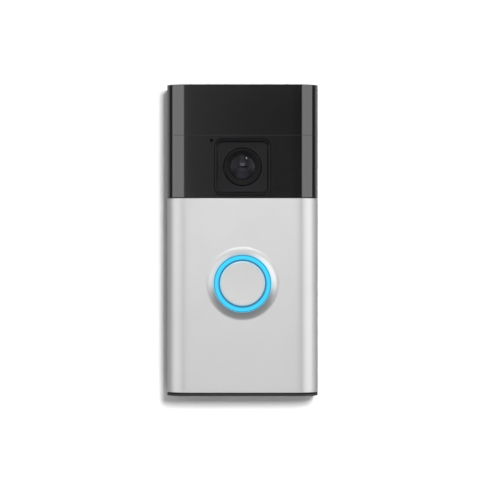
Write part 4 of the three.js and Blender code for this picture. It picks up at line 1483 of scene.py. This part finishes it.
@dataclass
class Rear:
    """The rear housing, the bracket and what shows on the back."""

    edge: float = 0.25
    chassis_edge: float = 0.15
    small_edge: float = 0.1
    screw_edge: float = 0.12

    def shells(self) -> None:
        """The housing, chassis and bracket with their edges broken."""
        refined("rear_housing", "rear_housing_moulded", MOULDED_BLACK, "unit", self.edge)
        refined("wall_bracket", "wall_bracket_moulded", MOULDED_BLACK, "bracket", self.edge)
        refined("front_chassis", "front_chassis_moulded", MOULDED_BLACK, "unit", self.chassis_edge)

    def fittings(self) -> None:
        """The terminals, the set-up button and the locking screw."""
        small = self.small_edge
        for hand in ("left", "right"):
            refined(f"terminal_plate_{hand}", f"terminal_plate_{hand}_brass", TURNED_BRASS, "unit", small)
            for piece in ("washer", "screw"):
                node = f"terminal_{piece}_{hand}"
                refined(node, node + "_zinc", ZINC_STEEL, node, small)
        refined("setup_button", "setup_button_moulded", ORANGE_ABS, "setup_button", small)
        refined("lock_screw", "lock_screw_zinc", ZINC_STEEL, "lock_screw", self.screw_edge)

    def screws(self) -> None:
        """The six housing screws, as one set."""
        rows, hands = ("top", "middle", "bottom"), ("left", "right")
        names = [f"housing_screw_{row}_{hand}" for row in rows for hand in hands]
        boxes = [Box.of(name) for name in names]
        points = [(b.middle[0], b.low[1], b.middle[2]) for b in boxes]
        made = screw_tree().at("housing_screws_zinc", points, ZINC_STEEL)
        fitted(smoothed(made), ZINC_STEEL, "unit", names)

    def build(self) -> None:
        """Makes the back."""
        self.shells()
        self.fittings()
        self.screws()


# ---------------------------------------------------------------- finish of what stays as it is


def dress_frame() -> None:
    """Gives each frame node the finish of its slot."""
    by_slot = {finish.slot: finish for finish in FINISHES}
    for part in frame["record"]["subparts"]:
        made = frame["nodes"][part["node"]]
        made.data.materials.clear()
        made.data.materials.append(by_slot[part["material_slot"]].build())


# ---------------------------------------------------------------- studio


@dataclass(frozen=True)
class Surroundings:
    """What the doorbell mirrors: how bright the studio is in each direction.

    Angles are in degrees. A bearing is measured from straight in front, to the right, and a rise from the
    level. Just above the level runs a narrow band with hard-edged side boxes, which is all that the polished
    covers mirror. Outside it the light is softer, with a panel over the camera, and only the satin metal
    gathers it. The panel has its half width and its lowest and highest rise, the dusk its two rises and its
    level, and the pole the rises between which the ceiling or the ground takes over.
    """

    sharp: tuple[Flat, ...] = (
        (-180.0, 0.12), (-152.0, 0.35), (-138.0, 0.55), (-125.0, 0.34), (-115.0, 0.07), (-97.5, 0.05),
        (-91.5, 1.60), (-22.0, 1.75), (-17.0, 0.30), (-3.0, 0.20), (-1.4, 0.185), (-0.2, 0.085),
        (0.3, 0.075), (0.9, 0.105), (1.3, 0.05), (2.0, 0.02), (22.5, 0.02), (26.5, 1.75), (89.0, 1.60),
        (94.0, 0.05), (112.0, 0.05), (121.0, 0.28), (132.0, 0.80), (152.0, 0.40), (180.0, 0.12),
    )
    soft: tuple[Flat, ...] = (
        (-180.0, 0.15), (-125.0, 0.60), (-105.0, 0.80), (-88.0, 1.15), (-64.0, 1.48), (-44.0, 1.32),
        (-24.0, 0.86), (-15.0, 0.80), (-8.0, 1.35), (8.0, 1.35), (15.0, 0.72), (24.0, 0.72), (40.0, 1.56),
        (64.0, 1.88), (88.0, 1.65), (105.0, 1.15), (125.0, 0.65), (180.0, 0.15),
    )
    band: tuple[float, float] = (0.1, 4.6)
    band_edge: float = 0.5
    panel: tuple[float, float, float] = (9.5, 5.4, 18.0)
    panel_level: float = 3.9
    blend: float = 4.0
    dusk: tuple[float, float, float] = (-3.0, -20.0, 0.38)
    ceiling: float = 1.05
    ground: float = 0.35
    pole: Flat = (48.0, 72.0)
    brightest: float = 9.0
    seen: float = 0.86

    def build(self) -> bpy.types.World:
        """The world shader, plain to the camera and shaped to everything else.

        Returns:
            The world.
        """
        world = bpy.data.worlds.new("studio_air")
        world.use_nodes = True
        tree = world.node_tree
        tree.nodes.clear()
        way = add(tree, "ShaderNodeTexCoord").outputs["Generated"]
        x, y, z = add(tree, "ShaderNodeSeparateXYZ", links={0: way}).outputs[:3]
        bearing = maths(tree, "ARCTAN2", x, maths(tree, "MULTIPLY", y, -1.0))
        rise = maths(tree, "ARCSINE", z)
        low, high = self.band
        level = self.between(tree, rise, low - self.band_edge, low, high, high + self.band_edge)
        around = self.softer(tree, bearing, rise)
        around = self.blended(tree, level, around, self.across(tree, bearing, self.sharp))
        shaped = add(tree, "ShaderNodeBackground", links={"Color": around, "Strength": self.brightest})
        plain = add(tree, "ShaderNodeBackground", links={"Strength": self.seen})
        plain.inputs["Color"].default_value = (1.0, 1.0, 1.0, 1.0)
        seen = add(tree, "ShaderNodeLightPath").outputs["Is Camera Ray"]
        links = {0: seen, 1: shaped.outputs[0], 2: plain.outputs[0]}
        either = add(tree, "ShaderNodeMixShader", links=links)
        add(tree, "ShaderNodeOutputWorld", links={"Surface": either.outputs[0]})
        return world

    def softer(self, tree: Tree, bearing: Socket, rise: Socket) -> Socket:
        """The soft light outside the band.

        Args:
            tree: The world's node tree.
            bearing: The socket of the bearing, in radians.
            rise: The socket of the rise, in radians.

        Returns:
            The socket of the brightness.
        """
        around = self.across(tree, bearing, self.soft)
        around = self.blended(tree, self.step(tree, rise, self.dusk[0], self.dusk[1]), around, self.dusk[2])
        half, low, high = self.panel
        aside = maths(tree, "ABSOLUTE", bearing)
        across = self.step(tree, aside, half + self.blend / 2, half - self.blend / 2)
        upright = self.between(tree, rise, low, low + 1, high, high + self.blend)
        around = self.blended(tree, maths(tree, "MULTIPLY", across, upright), around, self.panel_level)
        for level, sign in ((self.ceiling, 1), (self.ground, -1)):
            pole = self.step(tree, rise, sign * self.pole[0], sign * self.pole[1])
            around = self.blended(tree, pole, around, level)
        return around

    def between(
        self, tree: Tree, angle: Socket, start: float, full: float, last: float, end: float
    ) -> Socket:
        """A smooth step up between two angles, and down again between two others.

        Args:
            tree: The world's node tree.
            angle: The socket of the angle, in radians.
            start: Where it starts to rise.
            full: Where it is one.
            last: Where it starts to fall.
            end: Where it is nought again.

        Returns:
            The socket of the share.
        """
        return maths(tree, "MULTIPLY", self.step(tree, angle, start, full), self.step(tree, angle, end, last))

    def across(self, tree: Tree, bearing: Socket, levels: Sequence[Flat]) -> Socket:
        """The brightness by bearing alone.

        Args:
            tree: The world's node tree.
            bearing: The socket of the bearing, in radians.
            levels: The brightness at each bearing in degrees.

        Returns:
            The socket of the brightness, as a share of the brightest.
        """
        links = {"Value": bearing, "From Min": -math.pi, "From Max": math.pi}
        turn = add(tree, "ShaderNodeMapRange", links=links).outputs["Result"]
        stops = add(tree, "ShaderNodeValToRGB", links={"Fac": turn})
        elements = stops.color_ramp.elements
        for i, (degrees, level) in enumerate(levels):
            place = (degrees + 180.0) / 360.0
            stop = elements[i] if i < 1 else elements.new(place) if i < len(levels) - 1 else elements[-1]
            stop.position = place
            stop.color = (*[level / self.brightest] * 3, 1.0)
        return stops.outputs["Color"]

    def step(self, tree: Tree, angle: Socket, off: float, on: float) -> Socket:
        """A smooth step between two angles.

        Args:
            tree: The world's node tree.
            angle: The socket of the angle, in radians.
            off: Where the step is nought, in degrees.
            on: Where the step is one, in degrees.

        Returns:
            The socket of the step.
        """
        return eased(tree, angle, math.radians(off), math.radians(on))

    def blended(self, tree: Tree, share: Any, first: Any, other: Any) -> Socket:
        """Blends a brightness towards another.

        Args:
            tree: The world's node tree.
            share: The socket of the blend.
            first: The socket of the brightness so far.
            other: The other brightness, as a socket or a level.

        Returns:
            The socket of the result.
        """
        node = add(tree, "ShaderNodeMix", {"data_type": "RGBA"})
        tree.links.new(share, node.inputs[0])
        tree.links.new(first, node.inputs[6])
        if isinstance(other, Socket):
            tree.links.new(other, node.inputs[7])
        else:
            node.inputs[7].default_value = (*[other / self.brightest] * 3, 1.0)
        return node.outputs[2]


@dataclass(frozen=True)
class Lamp:
    """A square soft light aimed at the doorbell: its middle and width in metres, and its brightness."""

    name: str
    place: Point
    side: float
    radiance: float
    mirrored: bool = False


@dataclass
class Studio:
    """The wall, floor, lights and camera. Lengths are in metres here."""

    distance: float = 0.95
    seen_width: float = 0.1983
    camera_height: float = -0.00094
    sensor: float = 36.0
    floor: float = -0.45
    floor_half: float = 4.0
    floor_colour: str = "#d8d8d8"
    wall_half: float = 0.6
    wall_back: float = 0.0012
    wall_colour: str = "#8c8c8c"
    key_place: Point = (0.165, -1.25, 0.19)
    key_size: float = 0.17
    key_strength: float = 3.1
    back: Lamp = Lamp("back", (-0.9, 1.3, 0.7), 1.2, 1.6)
    spark: Lamp = Lamp("spark", (0.28, -0.80, 0.63), 0.10, 26.0, mirrored=True)

    def plain(self, name: str, colour: str, one_sided: bool) -> bpy.types.Material:
        """A plain matt paint for the floor and wall.

        Args:
            name: The material's name.
            colour: Its colour.
            one_sided: True to let it show only from the side that it faces.

        Returns:
            The material.
        """
        material = bpy.data.materials.new(name)
        material.use_nodes = True
        tree = material.node_tree
        tree.nodes.clear()
        paint = add(tree, "ShaderNodeBsdfDiffuse", links={"Color": linear(colour)}).outputs[0]
        if one_sided:
            behind = add(tree, "ShaderNodeNewGeometry").outputs["Backfacing"]
            shadow = add(tree, "ShaderNodeLightPath").outputs["Is Shadow Ray"]
            either = maths(tree, "MAXIMUM", behind, shadow)
            clear = add(tree, "ShaderNodeBsdfTransparent").outputs[0]
            paint = add(tree, "ShaderNodeMixShader", links={0: either, 1: paint, 2: clear}).outputs[0]
        add(tree, "ShaderNodeOutputMaterial", links={"Surface": paint})
        return material

    def sheet(self, name: str, corners: list[Point], paint: bpy.types.Material) -> None:
        """A flat backdrop, which the doorbell doesn't mirror.

        Args:
            name: Its name.
            corners: Its corners in metres, anticlockwise as seen from the side that it faces.
            paint: Its material.
        """
        data = bpy.data.meshes.new(name)
        data.from_pydata(corners, [], [tuple(range(len(corners)))])
        data.materials.append(paint)
        made = placed(name, data)
        made.visible_glossy = False

    def backdrop(self) -> None:
        """The wall behind and the floor below."""
        w, y = self.wall_half, self.wall_back
        wall = [(-w, y, self.floor), (w, y, self.floor), (w, y, w), (-w, y, w)]
        self.sheet("studio_wall", wall, self.plain("studio_wall_paint", self.wall_colour, True))
        far = self.floor_half
        ground = [(x * far, y * far, self.floor) for x, y in ((-1, -1), (1, -1), (1, 1), (-1, 1))]
        self.sheet("studio_floor", ground, self.plain("studio_floor_paint", self.floor_colour, False))

    def light(self, lamp: Lamp) -> Piece:
        """Hangs a lamp, which neither the camera nor what lies behind glass sees.

        Args:
            lamp: The lamp. Glossy surfaces show it only if it is mirrored.

        Returns:
            The light.
        """
        data = bpy.data.lights.new(lamp.name, "AREA")
        data.shape = "SQUARE"
        data.size = lamp.side
        data.energy = lamp.radiance * math.pi * lamp.side**2
        made = placed(lamp.name, data)
        made.location = lamp.place
        made.rotation_euler = (-Vector(lamp.place)).to_track_quat("-Z", "Y").to_euler()
        made.visible_camera = False
        made.visible_glossy = lamp.mirrored
        made.visible_transmission = False
        return made

    def lights(self) -> None:
        """The key, which throws the shadow down to the left, a light for the back and the lens's spark."""
        reach = Vector(self.key_place).length
        radiance = self.key_strength * math.pi * reach**2 / self.key_size**2
        self.light(Lamp("key", self.key_place, self.key_size, radiance))
        self.light(self.back)
        spark = self.light(self.spark)
        lens = bpy.data.collections.new("lit_by_spark")
        lens.objects.link(bpy.data.objects["lens_front_coated"])
        spark.light_linking.receiver_collection = lens

    def camera(self) -> None:
        """The camera, level and straight on."""
        data = bpy.data.cameras.new("camera")
        front = Box.of("sensor_cover").high[1] * MM
        data.sensor_width = self.sensor
        data.lens = self.sensor * self.distance / self.seen_width
        made = placed("camera", data)
        made.location = (0.0, -front - self.distance, self.camera_height)
        made.rotation_euler = (math.pi / 2, 0.0, 0.0)
        bpy.context.scene.camera = made

    def build(self) -> None:
        """Sets up the studio."""
        bpy.context.scene.view_settings.view_transform = "Standard"
        self.backdrop()
        self.lights()
        bpy.context.scene.world = Surroundings().build()
        self.camera()


def main() -> None:
    """Builds the doorbell's pieces round the frame, and the studio."""
    logging.basicConfig(level=logging.INFO, format="%(name)s: %(message)s")
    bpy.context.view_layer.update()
    dress_frame()
    for part in (Covers(), Button(), Camera(), Rear()):
        part.build()
    Studio().build()


if __name__ == "__main__":
    main()
